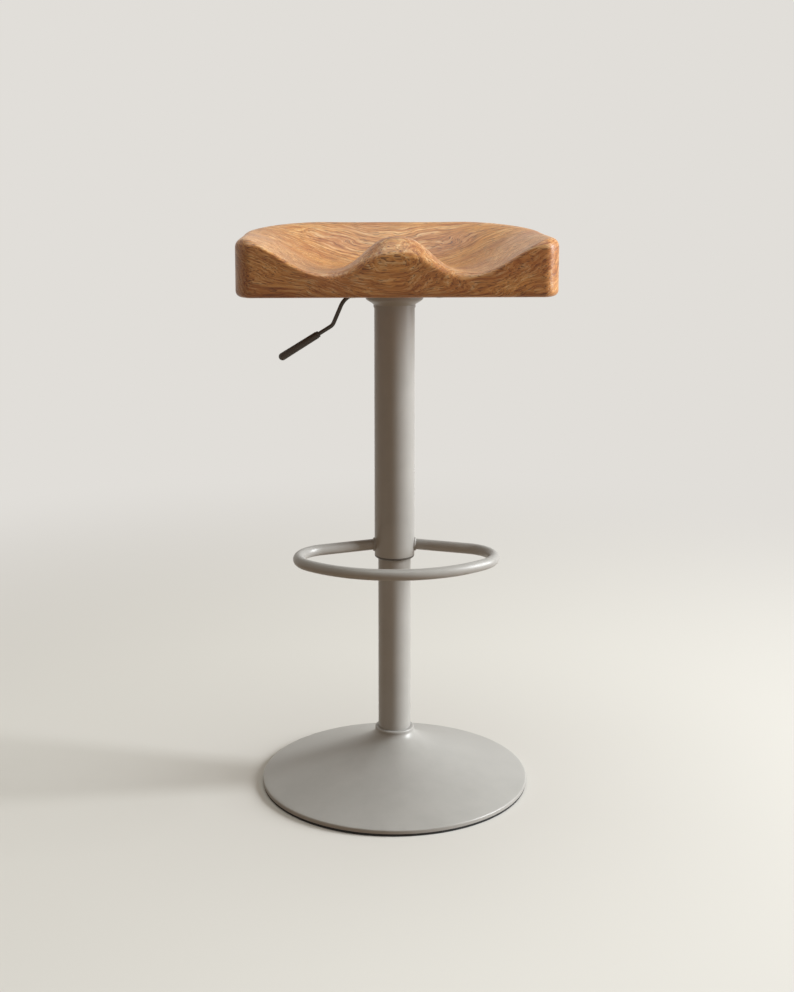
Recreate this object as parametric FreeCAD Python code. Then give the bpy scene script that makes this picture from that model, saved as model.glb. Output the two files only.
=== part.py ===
import FreeCAD, Part
import math
import os

# Tractor seat stool: a carved wooden saddle seat on a gas-lift column, with a foot ring
# welded to the sliding sleeve and a spun steel trumpet base.
# Millimetres. Z is up, the origin lies on the floor at the axis of the column, the open
# front of the seat faces -Y and the release lever points to -X.
# The stool stands at the top of its travel.

# Carved seat: heights are over the seat's flat underside
seat_underside = 751.0
seat_width = 446.0
seat_front = 150.0
seat_back = 165.0
seat_back_bow = 16.0
front_corner_radius = 28.0
back_corner_radius = 122.0
rim_rounding = 13.0
underside_rounding = 8.0
back_rim_height = 90.5
side_rim_height = 80.0
front_rim_height = 83.0
dish_height = 30.0
scoop_mouth_height = 33.5
dish_flat_share = 0.36
dish_rim_share = 0.97
mouth_flat_share = 0.47
mouth_rim_share = 1.0
dish_squareness = 2.8
dish_centre_y = 0.0
back_rise_start = 30.0
back_rim_crown = 5.0
pommel_height = 81.5
pommel_mouth_height = 60.0
pommel_half_width = 56.0
pommel_setback = 40.0
pommel_run = 82.0
pommel_roundness = 2.6
carving_steps_x = 36
carving_steps_y = 26
carving_margin = 12.0
insert_bore_depth = 16.0

# Seat fixing: a cross plate, screwed into threaded inserts
plate_thickness = 3.0
plate_hub_radius = 46.0
plate_arm_width = 34.0
plate_hole_reach = 88.0
plate_hole_radius = 3.5
plate_arm_end = 14.0
plate_arm_rounding = 12.0
insert_radius = 4.8
insert_length = 14.0
screw_radius = 3.0
screw_length = 16.0
screw_head_width = 10.0
screw_head_height = 4.0
seat_washer_radius = 7.0
seat_washer_thickness = 1.2

# Outer sleeve and its bell collar under the seat
sleeve_radius = 29.7
sleeve_wall = 1.5
sleeve_length = 378.0
sleeve_top_drop = 18.0
collar_radius = 42.5
collar_wall = 1.5
collar_skirt = 7.0
collar_skirt_wall = 1.0
collar_flare_start = 3.0
collar_flare_height = 10.5
collar_bend_share = 0.45
sleeve_bush_wall_gap = 0.1
sleeve_bush_length = 24.0
sleeve_bush_flange = 3.5
sleeve_bush_rounding = 2.4

# Lower tube and the parts inside it
tube_radius = 24.3
tube_wall = 2.0
guide_bush_length = 60.0
guide_bush_flange = 3.0
guide_bush_chamfer = 1.0
lead_chamfer = 1.5
anchor_height = 60.0
anchor_thickness = 5.0
race_radius = 14.0
race_thickness = 1.5
ball_radius = 2.0
ball_count = 10
cage_thickness = 1.6
bump_stop_radius = 10.0
bump_stop_length = 20.0
bump_stop_chamfer = 2.4

# Gas lift
travel = 215.0
pressure_radius = 14.0
pressure_wall = 1.5
pressure_taper = 1.0
socket_radius = 19.0
socket_length = 28.0
socket_flange_thickness = 3.0
socket_flange_radius = 31.0
rod_radius = 5.0
rod_tail = 10.0
rod_head = 3.0
rod_chamfer = 0.6
piston_length = 16.0
piston_ring_height = 4.0
piston_ring_depth = 2.0
rod_guide_length = 24.0
rod_seal_height = 5.0
rod_seal_width = 3.0
rod_seal_inset = 8.0
clip_thickness = 1.5
clip_width = 4.0
clip_groove_depth = 0.8
clip_mouth = 6.0
valve_length = 44.0
pin_radius = 3.0
pin_length = 37.0
pin_chamfer = 0.8

# Release lever, in the upright plane through the column's axis
lever_radius = 3.0
lever_drop = 5.5
lever_inner_end = 5.0
lever_swing = 5.0
lever_knee_reach = 70.8
lever_knee_radius = 29.0
lever_knee_fall = 66.7
lever_elbow_reach = 90.6
lever_elbow_radius = 14.0
lever_grip_fall = 32.0
lever_straight = 26.4
grip_length = 66.0
grip_radius = 5.7
grip_root_radius = 5.3
grip_overlap = 34.0
grip_bore_room = 1.0
grip_edge = 0.5
ferrule_radius = 4.8
ferrule_length = 3.0
ferrule_chamfer = 0.6
lever_bush_radius = 4.7
lever_bush_flange = 0.7
lever_bush_length = 6.0
lever_bush_flare = 0.5

# Foot ring: a tube bent in a D, closed by the sleeve; measured on its centreline
ring_tube_radius = 8.0
ring_tube_wall = 1.5
ring_half_width = 141.0
ring_reach = 165.0
ring_corner_radius = 51.0
ring_arm_sweep = 20.5
ring_above_sleeve_end = 15.0
ring_end_overlap = 4.0

# Trumpet base
base_radius = 200.0
base_height = 80.0
shell_wall = 1.5
base_edge_rounding = 2.5
base_edge_height = 3.5
base_rim_slope = 17.6
base_rim_pull = 92.5
neck_radius = 28.9
neck_pull = 18.0
neck_lean = 4.0
neck_ring_height = 4.6
neck_ring_overhang = 0.4
neck_ring_lip = 6.0
neck_ring_rounding = 1.9
floor_ring_height = 4.0
floor_ring_width = 16.0
floor_ring_inset = 0.8
floor_ring_lip = 2.0
ballast_lift = 6.0
ballast_thickness = 10.0
ballast_recess_radius = 17.0
ballast_recess_depth = 6.0
foot_plug_length = 30.0
bolt_radius = 6.0
bolt_length = 30.0
bolt_head_width = 19.0
bolt_head_height = 7.5
base_washer_radius = 15.0
base_washer_thickness = 2.0

# Clearances
running_gap = 0.06
easy_gap = 0.3
seat_gap = 0.1
stop_gap = 0.5
roll_gap = 0.02
tube_top_clearance = 6.0
valve_clearance = 1.0

# How far a cutting shape reaches past what it cuts
cut_margin = 1.0


# Heights that follow from the sizes above
plate_bottom = seat_underside - plate_thickness
sleeve_top = plate_bottom - sleeve_top_drop
sleeve_bottom = sleeve_top - sleeve_length
lever_z = plate_bottom - lever_drop
lever_pivot_reach = collar_radius - 0.5 * collar_wall
pin_stroke = (lever_pivot_reach + pin_radius) * math.sin(math.radians(lever_swing))
pin_top = lever_z - lever_radius - easy_gap
pressure_top = lever_z - lever_radius - pin_stroke - valve_clearance
socket_bottom = sleeve_top - socket_length
bush_top = socket_bottom - travel - tube_top_clearance
tube_top = bush_top - guide_bush_flange
ballast_top = ballast_lift + ballast_thickness
anchor_top = anchor_height + anchor_thickness
ball_z = anchor_top + race_thickness + roll_gap + ball_radius
upper_race_z = ball_z + ball_radius + roll_gap
bump_stop_z = upper_race_z + race_thickness
pressure_bottom = bump_stop_z + bump_stop_length + stop_gap + travel
piston_z = pressure_bottom + rod_guide_length + easy_gap
ring_z = sleeve_bottom + ring_above_sleeve_end

tube_bore = tube_radius - tube_wall
sleeve_bore = sleeve_radius - sleeve_wall
pressure_bore = pressure_radius - pressure_wall
ball_circle = (rod_radius + race_radius) / 2


def line(start, end):
    """Straight edge of a profile, from one (radius, height) to another."""
    return Part.LineSegment(FreeCAD.Vector(start[0], 0, start[1]),
                            FreeCAD.Vector(end[0], 0, end[1])).toShape()


def arc(start, middle, end):
    """Round edge of a profile through three points."""
    return Part.Arc(FreeCAD.Vector(start[0], 0, start[1]),
                    FreeCAD.Vector(middle[0], 0, middle[1]),
                    FreeCAD.Vector(end[0], 0, end[1])).toShape()


def curve(poles):
    """Smooth edge of a profile, drawn by its four control points."""
    bezier = Part.BezierCurve()
    bezier.setPoles([FreeCAD.Vector(r, 0, z) for r, z in poles])
    return bezier.toShape()


def corner(start, end, centre):
    """Round corner of a profile between two points at one distance from its centre."""
    radius = math.hypot(start[0] - centre[0], start[1] - centre[1])
    lean = ((start[0] + end[0]) / 2 - centre[0], (start[1] + end[1]) / 2 - centre[1])
    stretch = radius / math.hypot(lean[0], lean[1])
    middle = (centre[0] + lean[0] * stretch, centre[1] + lean[1] * stretch)
    return arc(start, middle, end)


def turned(edges):
    """Solid of revolution about the column's axis."""
    face = Part.Face(Part.Wire(edges))
    return face.revolve(FreeCAD.Vector(0, 0, 0), FreeCAD.Vector(0, 0, 1), 360)


def turned_outline(points):
    """Solid of revolution of a straight-sided outline."""
    ends = points[1:] + points[:1]
    return turned([line(a, b) for a, b in zip(points, ends)])


def ring(inner, outer, bottom, top):
    """Plain ring about the column's axis."""
    return turned_outline([(inner, bottom), (outer, bottom), (outer, top), (inner, top)])


def peg(radius, bottom, top, x=0.0, y=0.0):
    """Upright round bar."""
    return Part.makeCylinder(radius, top - bottom, FreeCAD.Vector(x, y, bottom))


def hexagon(width, bottom, top, x=0.0, y=0.0):
    """Upright hexagonal bar, its width measured across the flats."""
    reach = width / math.sqrt(3)
    points = []
    for step in range(7):
        turn = math.radians(60 * step)
        points.append(FreeCAD.Vector(x + reach * math.cos(turn), y + reach * math.sin(turn), bottom))
    face = Part.Face(Part.makePolygon(points))
    return face.extrude(FreeCAD.Vector(0, 0, top - bottom))


def bent_tube(path, radius):
    """Round bar swept along a bent centreline."""
    first = path.OrderedEdges[0]
    start = first.valueAt(first.FirstParameter)
    heading = first.tangentAt(first.FirstParameter)
    if first.Orientation == "Reversed":
        start = first.valueAt(first.LastParameter)
        heading = first.tangentAt(first.LastParameter) * -1
    circle = Part.Wire([Part.makeCircle(radius, start, heading)])
    return path.makePipeShell([circle], True, False)


def ease(value):
    """Smooth step from 0 to 1."""
    value = max(0.0, min(1.0, value))
    return value * value * (3 - 2 * value)


def screw_places():
    """Plan positions of the four seat screws, at the ends of the plate's arms."""
    places = []
    for step in range(4):
        turn = math.radians(45 + 90 * step)
        places.append((plate_hole_reach * math.cos(turn), plate_hole_reach * math.sin(turn)))
    return places


# Seat

def saddle_height(x, y):
    """Height of the carved top over one point of the plan.

    A dish that is open at the front rises to a soft rim at the sides and the back,
    and a pommel parts it into two thigh scoops.
    """
    across = abs(x) / (seat_width / 2)
    back = max(0.0, y - dish_centre_y) / (seat_back - dish_centre_y)
    spread = (across ** dish_squareness + back ** dish_squareness) ** (1 / dish_squareness)
    forward = ease(-y / seat_front)
    flat_share = dish_flat_share + (mouth_flat_share - dish_flat_share) * forward
    rim_share = dish_rim_share + (mouth_rim_share - dish_rim_share) * forward
    wall = ease((spread - flat_share) / (rim_share - flat_share))

    rearward = ease((y - back_rise_start) / (seat_back - back_rise_start))
    floor = dish_height + (scoop_mouth_height - dish_height) * forward
    back_rim = back_rim_height - back_rim_crown * across ** 2
    rim = side_rim_height + (back_rim - side_rim_height) * rearward
    rim += (front_rim_height - side_rim_height) * forward
    height = floor + (rim - floor) * wall

    crest_y = pommel_setback - seat_front
    if y < crest_y:
        fall = (crest_y - y) / pommel_setback
        crest = pommel_height - (pommel_height - pommel_mouth_height) * fall ** 2
        fade = 1.0
    else:
        crest = pommel_height
        fade = math.exp(-((y - crest_y) / pommel_run) ** 2)
    ridge = math.exp(-(abs(x) / pommel_half_width) ** pommel_roundness)
    return height + (crest - height) * ridge * fade


def carved_face():
    """The saddle's top surface, a little larger than the seat all round."""
    length = seat_front + seat_back + 2 * carving_margin
    rows = []
    for i in range(carving_steps_x + 1):
        x = (seat_width + 2 * carving_margin) * (i / carving_steps_x - 0.5)
        row = []
        for j in range(carving_steps_y + 1):
            y = length * j / carving_steps_y - seat_front - carving_margin
            row.append(FreeCAD.Vector(x, y, seat_underside + saddle_height(x, y)))
        rows.append(row)
    surface = Part.BSplineSurface()
    surface.interpolate(rows)
    return surface.toShape()


def make_seat():
    """Solid wood block: sawn outline, carved top, rounded edges, bores for the inserts."""
    half = seat_width / 2
    back_corner = seat_back - seat_back_bow
    points = [(-half, -seat_front), (half, -seat_front), (half, back_corner), (-half, back_corner)]
    front_left, front_right, back_right, back_left = [
        FreeCAD.Vector(x, y, seat_underside) for x, y in points]
    back_middle = FreeCAD.Vector(0, seat_back, seat_underside)
    outline = Part.Wire([
        Part.LineSegment(front_left, front_right).toShape(),
        Part.LineSegment(front_right, back_right).toShape(),
        Part.Arc(back_right, back_middle, back_left).toShape(),
        Part.LineSegment(back_left, front_left).toShape()])
    block_height = 1.5 * max(back_rim_height, pommel_height)
    block = Part.Face(outline).extrude(FreeCAD.Vector(0, 0, block_height))

    def corner_edges(y):
        return [e for e in block.Edges if e.BoundBox.ZLength > block_height / 2
                and abs(e.CenterOfMass.y - y) < 0.01 and abs(abs(e.CenterOfMass.x) - half) < 0.01]

    block = block.makeFillet(back_corner_radius, corner_edges(back_corner))
    block = block.makeFillet(front_corner_radius, corner_edges(-seat_front))
    lower = [e for e in block.Edges if e.BoundBox.ZMax < seat_underside + 0.01]
    block = block.makeFillet(underside_rounding, lower)

    carving = carved_face().extrude(FreeCAD.Vector(0, 0, block_height))
    seat = block.cut(carving).Solids[0]
    top = max((f for f in seat.Faces if isinstance(f.Surface, Part.BSplineSurface)),
              key=lambda f: f.Area)
    seat = seat.makeFillet(rim_rounding, top.Edges)
    for x, y in screw_places():
        bore_top = seat_underside + insert_bore_depth
        seat = seat.cut(peg(insert_radius + seat_gap, seat_underside - cut_margin, bore_top, x, y))
    return seat


def make_seat_inserts():
    """Threaded brass inserts, flush with the seat's underside."""
    inserts = []
    for x, y in screw_places():
        top = seat_underside + insert_length
        insert = peg(insert_radius, seat_underside, top, x, y)
        thread = peg(screw_radius + running_gap, seat_underside - cut_margin, top + cut_margin, x, y)
        inserts.append(insert.cut(thread))
    return Part.makeCompound(inserts)


def make_seat_plate():
    """Cross-shaped steel plate with a round hub, one hole at the end of each arm."""
    plate = peg(plate_hub_radius, plate_bottom, seat_underside)
    arm_reach = plate_hole_reach + plate_arm_end
    for turn in (45, 135):
        arm = Part.makeBox(2 * arm_reach, plate_arm_width, plate_thickness,
                           FreeCAD.Vector(-arm_reach, -plate_arm_width / 2, plate_bottom))
        tips = [e for e in arm.Edges if e.BoundBox.ZLength > plate_thickness / 2
                and e.BoundBox.XLength < 0.01 and e.BoundBox.YLength < 0.01]
        arm = arm.makeFillet(plate_arm_rounding, tips)
        arm.rotate(FreeCAD.Vector(0, 0, 0), FreeCAD.Vector(0, 0, 1), turn)
        plate = plate.fuse(arm)
    for x, y in screw_places():
        hole = peg(plate_hole_radius, plate_bottom - cut_margin, seat_underside + cut_margin, x, y)
        plate = plate.cut(hole)
    return plate.removeSplitter()


def make_seat_washers():
    """Plain washers under the screw heads."""
    washers = []
    for x, y in screw_places():
        bottom = plate_bottom - seat_washer_thickness
        washer = peg(seat_washer_radius, bottom, plate_bottom, x, y)
        hole = peg(screw_radius + easy_gap, bottom - cut_margin, plate_bottom + cut_margin, x, y)
        washers.append(washer.cut(hole))
    return Part.makeCompound(washers)


def make_seat_screws():
    """Hexagon-headed screws that hold the plate to the seat."""
    screws = []
    for x, y in screw_places():
        head_top = plate_bottom - seat_washer_thickness
        head = hexagon(screw_head_width, head_top - screw_head_height, head_top, x, y)
        screws.append(head.fuse(peg(screw_radius, head_top, head_top + screw_length, x, y)))
    return Part.makeCompound(screws)


# Sleeve, collar and foot ring

def make_outer_sleeve():
    """Painted steel sleeve that slides and turns over the lower tube."""
    return ring(sleeve_bore, sleeve_radius, sleeve_bottom, sleeve_top)


def make_sleeve_collar():
    """Spun bell between sleeve and seat plate; it houses the lever and the valve."""
    skirt_bottom = sleeve_top - collar_skirt
    flare_bottom = sleeve_top - collar_flare_start
    flare_top = plate_bottom - collar_flare_height
    inner = sleeve_radius + seat_gap
    outer = inner + collar_skirt_wall
    bend = collar_bend_share * (flare_top - flare_bottom)
    outside = [(outer, flare_bottom), (outer + bend, flare_bottom + bend),
               (collar_radius, flare_top - bend), (collar_radius, flare_top)]
    inside = [(collar_radius - collar_wall, flare_top),
              (collar_radius - collar_wall, flare_top - 0.5 * bend),
              (inner + bend, flare_bottom + bend + collar_wall), (inner, flare_bottom + collar_wall)]
    collar = turned([
        line((inner, skirt_bottom), (outer, skirt_bottom)),
        line((outer, skirt_bottom), outside[0]),
        curve(outside),
        line(outside[3], (collar_radius, plate_bottom)),
        line((collar_radius, plate_bottom), (collar_radius - collar_wall, plate_bottom)),
        line((collar_radius - collar_wall, plate_bottom), inside[0]),
        curve(inside),
        line(inside[3], (inner, skirt_bottom))])
    hole = Part.makeCylinder(lever_bush_radius + seat_gap, collar_radius,
                             FreeCAD.Vector(-collar_radius - cut_margin, 0, lever_z),
                             FreeCAD.Vector(1, 0, 0))
    return collar.cut(hole)


def make_sleeve_bush():
    """Plastic slide bush in the sleeve's lower end, its rounded flange below the sleeve."""
    inner = tube_radius + running_gap
    outer = sleeve_bore - sleeve_bush_wall_gap
    flange = sleeve_radius - seat_gap
    low = sleeve_bottom - sleeve_bush_flange
    turn = sleeve_bush_rounding
    return turned([
        line((inner, low), (flange - turn, low)),
        corner((flange - turn, low), (flange, low + turn), (flange - turn, low + turn)),
        line((flange, low + turn), (flange, sleeve_bottom)),
        line((flange, sleeve_bottom), (outer, sleeve_bottom)),
        line((outer, sleeve_bottom), (outer, sleeve_bottom + sleeve_bush_length)),
        line((outer, sleeve_bottom + sleeve_bush_length), (inner, sleeve_bottom + sleeve_bush_length)),
        line((inner, sleeve_bottom + sleeve_bush_length), (inner, low))])


def ring_path():
    """Centreline of the foot ring: two straight arms, two tight bends and a wide front arc."""
    sweep = math.radians(ring_arm_sweep)
    along = (math.cos(sweep), -math.sin(sweep))
    inset = sleeve_wall + ring_end_overlap
    start = (sleeve_radius - inset, inset * math.tan(sweep))
    bend_x = ring_half_width - ring_corner_radius
    bend_y = (-ring_corner_radius - (bend_x - sleeve_radius) * math.sin(sweep)) / math.cos(sweep)
    depth = bend_y + ring_reach
    front_radius = ((bend_x ** 2 + depth ** 2 - ring_corner_radius ** 2)
                    / (2 * (depth - ring_corner_radius)))
    front_y = front_radius - ring_reach
    arm_end = (bend_x + ring_corner_radius * -along[1], bend_y + ring_corner_radius * along[0])
    outward = (bend_x, bend_y - front_y)
    share = front_radius / math.hypot(outward[0], outward[1])
    bend_end = (outward[0] * share, front_y + outward[1] * share)
    bend_middle = (ring_half_width, bend_y)

    def place(point, side):
        return FreeCAD.Vector(side * point[0], point[1], ring_z)

    front_middle = FreeCAD.Vector(0, -ring_reach, ring_z)
    return Part.Wire([
        Part.LineSegment(place(start, -1), place(arm_end, -1)).toShape(),
        Part.Arc(place(arm_end, -1), place(bend_middle, -1), place(bend_end, -1)).toShape(),
        Part.Arc(place(bend_end, -1), front_middle, place(bend_end, 1)).toShape(),
        Part.Arc(place(bend_end, 1), place(bend_middle, 1), place(arm_end, 1)).toShape(),
        Part.LineSegment(place(arm_end, 1), place(start, 1)).toShape()])


def make_foot_ring():
    """Bent steel tube with its two ends cut to the sleeve, where they are welded."""
    path = ring_path()
    outside = bent_tube(path, ring_tube_radius)
    inside = bent_tube(path, ring_tube_radius - ring_tube_wall)
    sleeve = peg(sleeve_radius, sleeve_bottom, ring_z + 2 * ring_tube_radius)
    return outside.cut(inside).cut(sleeve)


# Gas lift

def make_taper_socket():
    """Steel socket welded on top of the sleeve; the gas lift's tapered end wedges in it."""
    top = sleeve_top + socket_flange_thickness
    low_bore = pressure_radius + seat_gap
    top_bore = low_bore - pressure_taper
    return turned_outline([
        (low_bore, socket_bottom), (socket_radius, socket_bottom), (socket_radius, sleeve_top),
        (socket_flange_radius, sleeve_top), (socket_flange_radius, top), (top_bore, top)])


def make_pressure_tube():
    """Cylinder of the gas lift, with its upper end drawn in to a taper."""
    top_radius = pressure_radius - pressure_taper
    taper_top = sleeve_top + socket_flange_thickness
    return turned_outline([
        (pressure_bore, pressure_bottom), (pressure_radius, pressure_bottom),
        (pressure_radius, socket_bottom), (top_radius, taper_top), (top_radius, pressure_top),
        (pressure_bore - pressure_taper, pressure_top), (pressure_bore - pressure_taper, taper_top),
        (pressure_bore, socket_bottom)])


def make_valve_body():
    """Valve block in the top of the gas lift, bored for the release pin."""
    side = pressure_bore - pressure_taper - running_gap
    bottom = pressure_top - valve_length
    bore = pin_radius + running_gap
    pin_floor = pin_top - pin_length - pin_stroke - valve_clearance
    return turned_outline([
        (0, bottom), (side, bottom), (side, pressure_top), (bore, pressure_top),
        (bore, pin_floor), (0, pin_floor)])


def make_release_pin():
    """Pin that opens the valve when the lever presses it down."""
    bottom = pin_top - pin_length
    return turned_outline([
        (0, bottom), (pin_radius, bottom), (pin_radius, pin_top - pin_chamfer),
        (pin_radius - pin_chamfer, pin_top), (0, pin_top)])


def make_rod_guide():
    """Lower plug of the gas lift that guides the rod, with a groove for its seal."""
    inner = rod_radius + running_gap
    outer = pressure_bore - running_gap
    top = pressure_bottom + rod_guide_length
    groove_low = pressure_bottom + rod_seal_inset
    groove_top = groove_low + rod_seal_height
    groove = inner + rod_seal_width
    return turned_outline([
        (inner, pressure_bottom), (outer, pressure_bottom), (outer, top), (inner, top),
        (inner, groove_top), (groove, groove_top), (groove, groove_low), (inner, groove_low)])


def make_rod_seal():
    """Rubber lip seal round the rod, in the guide's groove."""
    low = pressure_bottom + rod_seal_inset + seat_gap
    top = low + rod_seal_height - 2 * seat_gap
    return ring(rod_radius + running_gap, rod_radius + rod_seal_width - running_gap, low, top)


def make_piston_rod():
    """Polished rod from the anchor in the lower tube up to the piston."""
    bottom = anchor_height - rod_tail
    clip_top = anchor_height - easy_gap
    clip_bottom = clip_top - clip_thickness
    groove = rod_radius - clip_groove_depth
    top = piston_z + piston_length + rod_head
    return turned_outline([
        (0, bottom), (rod_radius - rod_chamfer, bottom), (rod_radius, bottom + rod_chamfer),
        (rod_radius, clip_bottom - seat_gap), (groove, clip_bottom - seat_gap),
        (groove, clip_top + seat_gap), (rod_radius, clip_top + seat_gap), (rod_radius, top), (0, top)])


def make_piston():
    """Piston on the rod's upper end, with a groove for its ring."""
    outer = pressure_bore - easy_gap
    groove = outer - piston_ring_depth
    middle = piston_z + piston_length / 2
    half = piston_ring_height / 2
    bore = rod_radius + running_gap
    return turned_outline([
        (bore, piston_z), (outer, piston_z), (outer, middle - half), (groove, middle - half),
        (groove, middle + half), (outer, middle + half), (outer, piston_z + piston_length),
        (bore, piston_z + piston_length)])


def make_piston_ring():
    """Seal ring in the piston's groove, sliding in the cylinder's bore."""
    inner = pressure_bore - easy_gap - piston_ring_depth + seat_gap
    middle = piston_z + piston_length / 2
    half = piston_ring_height / 2 - seat_gap
    return ring(inner, pressure_bore - running_gap, middle - half, middle + half)


def make_rod_clip():
    """Spring clip in the rod's groove, under the anchor plate."""
    top = anchor_height - easy_gap
    bottom = top - clip_thickness
    inner = rod_radius - clip_groove_depth + seat_gap
    clip = ring(inner, rod_radius + clip_width, bottom, top)
    mouth = Part.makeBox(2 * (rod_radius + clip_width), clip_mouth, clip_thickness + 2 * cut_margin,
                         FreeCAD.Vector(0, -clip_mouth / 2, bottom - cut_margin))
    return clip.cut(mouth)


def make_thrust_race(bottom, bore):
    """Flat washer of the thrust bearing that the seat turns on."""
    return ring(bore, race_radius, bottom, bottom + race_thickness)


def ball_places():
    """Positions of the bearing's balls."""
    places = []
    for step in range(ball_count):
        turn = 2 * math.pi * step / ball_count
        places.append(FreeCAD.Vector(ball_circle * math.cos(turn), ball_circle * math.sin(turn), ball_z))
    return places


def make_thrust_balls():
    """Steel balls between the two races."""
    return Part.makeCompound([Part.makeSphere(ball_radius, place) for place in ball_places()])


def make_ball_cage():
    """Plastic cage that keeps the balls apart."""
    half = cage_thickness / 2
    cage = ring(rod_radius + easy_gap, race_radius - seat_gap, ball_z - half, ball_z + half)
    for place in ball_places():
        cage = cage.cut(peg(ball_radius + seat_gap, ball_z - half - cut_margin,
                            ball_z + half + cut_margin, place.x, place.y))
    return cage


def make_bump_stop():
    """Rubber buffer that the cylinder lands on at the bottom of its travel."""
    top = bump_stop_z + bump_stop_length
    return turned_outline([
        (rod_radius + running_gap, bump_stop_z), (bump_stop_radius, bump_stop_z),
        (bump_stop_radius, top - bump_stop_chamfer), (bump_stop_radius - bump_stop_chamfer, top),
        (rod_radius + running_gap, top)])


# Lower tube

def make_stand_tube():
    """Fixed lower tube of the column, standing on the ballast plate."""
    return ring(tube_bore, tube_radius, ballast_top, tube_top)


def make_guide_bush():
    """Plastic bush in the tube's mouth that guides the gas lift's cylinder."""
    inner = pressure_radius + running_gap
    outer = tube_bore - seat_gap
    low = tube_top - guide_bush_length
    return turned_outline([
        (inner, low), (outer - lead_chamfer, low), (outer, low + lead_chamfer), (outer, tube_top),
        (tube_radius, tube_top), (tube_radius, bush_top - guide_bush_chamfer),
        (tube_radius - guide_bush_chamfer, bush_top), (inner, bush_top)])


def make_anchor_plate():
    """Plate welded across the lower tube that the gas lift's rod is held in."""
    return ring(rod_radius + running_gap, tube_bore - seat_gap, anchor_height, anchor_top)


def make_tube_foot():
    """Threaded plug in the tube's lower end."""
    top = ballast_top + foot_plug_length
    outer = tube_bore - seat_gap
    return turned_outline([
        (bolt_radius + running_gap, ballast_top), (outer, ballast_top), (outer, top - lead_chamfer),
        (outer - lead_chamfer, top), (bolt_radius + running_gap, top)])


# Base

def shell_edge():
    """Top of the painted edge and the start of the slope, at the base's rim."""
    slope = math.radians(base_rim_slope)
    centre = (base_radius - base_edge_rounding, floor_ring_height + base_edge_height)
    away = (math.sin(slope), math.cos(slope))
    return centre, away


def shell_curve(inset):
    """Control points of the trumpet's curve, from the rim up to the neck."""
    centre, away = shell_edge()
    depth = base_edge_rounding - inset
    rim = (centre[0] + away[0] * depth, centre[1] + away[1] * depth)
    rim_pull = (rim[0] - base_rim_pull * away[1], rim[1] + base_rim_pull * away[0])
    neck = (neck_radius - inset, base_height)
    lean = math.radians(neck_lean)
    neck_pull_point = (neck[0] + neck_pull * math.sin(lean), neck[1] - neck_pull * math.cos(lean))
    return [rim, rim_pull, neck_pull_point, neck]


def shell_radius_at(height):
    """Radius at which the shell's inner face comes down to a height."""
    rim, rim_pull, neck_pull_point, neck = shell_curve(shell_wall)
    low, high = 0.0, 1.0
    for step in range(40):
        share = (low + high) / 2
        rest = 1 - share
        weights = (rest ** 3, 3 * rest ** 2 * share, 3 * rest * share ** 2, share ** 3)
        points = (rim, rim_pull, neck_pull_point, neck)
        radius = sum(w * p[0] for w, p in zip(weights, points))
        level = sum(w * p[1] for w, p in zip(weights, points))
        if level < height:
            low = share
        else:
            high = share
    return radius


def make_base_shell():
    """Spun steel trumpet: an upright edge, a long shallow cone and a flared neck."""
    centre, away = shell_edge()
    outside = shell_curve(0.0)
    inside = shell_curve(shell_wall)
    bottom = floor_ring_height
    inner_radius = base_radius - shell_wall
    return turned([
        line((inner_radius, bottom), (base_radius, bottom)),
        line((base_radius, bottom), (base_radius, centre[1])),
        corner((base_radius, centre[1]), outside[0], centre),
        curve(outside),
        line(outside[3], inside[3]),
        curve(inside[::-1]),
        corner(inside[0], (inner_radius, centre[1]), centre),
        line((inner_radius, centre[1]), (inner_radius, bottom))])


def make_neck_ring():
    """Bead that closes the gap between the trumpet's neck and the tube."""
    inner = tube_radius + seat_gap
    outer = neck_radius + neck_ring_overhang
    lip = neck_radius - shell_wall - seat_gap
    top = base_height + neck_ring_height
    turn = neck_ring_rounding
    return turned([
        line((inner, base_height - neck_ring_lip), (lip, base_height - neck_ring_lip)),
        line((lip, base_height - neck_ring_lip), (lip, base_height)),
        line((lip, base_height), (outer, base_height)),
        line((outer, base_height), (outer, top - turn)),
        corner((outer, top - turn), (outer - turn, top), (outer - turn, top - turn)),
        line((outer - turn, top), (inner, top)),
        line((inner, top), (inner, base_height - neck_ring_lip))])


def make_floor_ring():
    """Rubber ring under the shell's edge, with a lip that locates inside it."""
    outer = base_radius - floor_ring_inset
    inner = outer - floor_ring_width
    lip = base_radius - shell_wall - seat_gap
    top = floor_ring_height
    return turned_outline([
        (inner, 0), (outer, 0), (outer, top), (lip, top), (lip, top + floor_ring_lip),
        (inner, top + floor_ring_lip)])


def make_ballast_plate():
    """Steel weight inside the base, recessed below for the bolt."""
    outer = shell_radius_at(ballast_top + easy_gap)
    recess = ballast_lift + ballast_recess_depth
    return turned_outline([
        (bolt_radius + easy_gap, recess), (ballast_recess_radius, recess),
        (ballast_recess_radius, ballast_lift), (outer, ballast_lift), (outer, ballast_top),
        (bolt_radius + easy_gap, ballast_top)])


def make_base_washer():
    """Wide washer between the bolt's head and the ballast plate."""
    top = ballast_lift + ballast_recess_depth
    return ring(bolt_radius + easy_gap, base_washer_radius, top - base_washer_thickness, top)


def make_base_bolt():
    """Bolt that draws the column down onto the ballast plate."""
    head_top = ballast_lift + ballast_recess_depth - base_washer_thickness
    head = hexagon(bolt_head_width, head_top - bolt_head_height, head_top)
    return head.fuse(peg(bolt_radius, head_top, head_top + bolt_length))


# Lever

def lever_points():
    """Corners of the lever's centreline: inner end, knee, elbow and the end in the grip."""
    knee = (-lever_knee_reach, lever_z)
    drop = (lever_elbow_reach - lever_knee_reach) * math.tan(math.radians(lever_knee_fall))
    elbow = (-lever_elbow_reach, lever_z - drop)
    return (lever_inner_end, lever_z), knee, elbow


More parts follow.
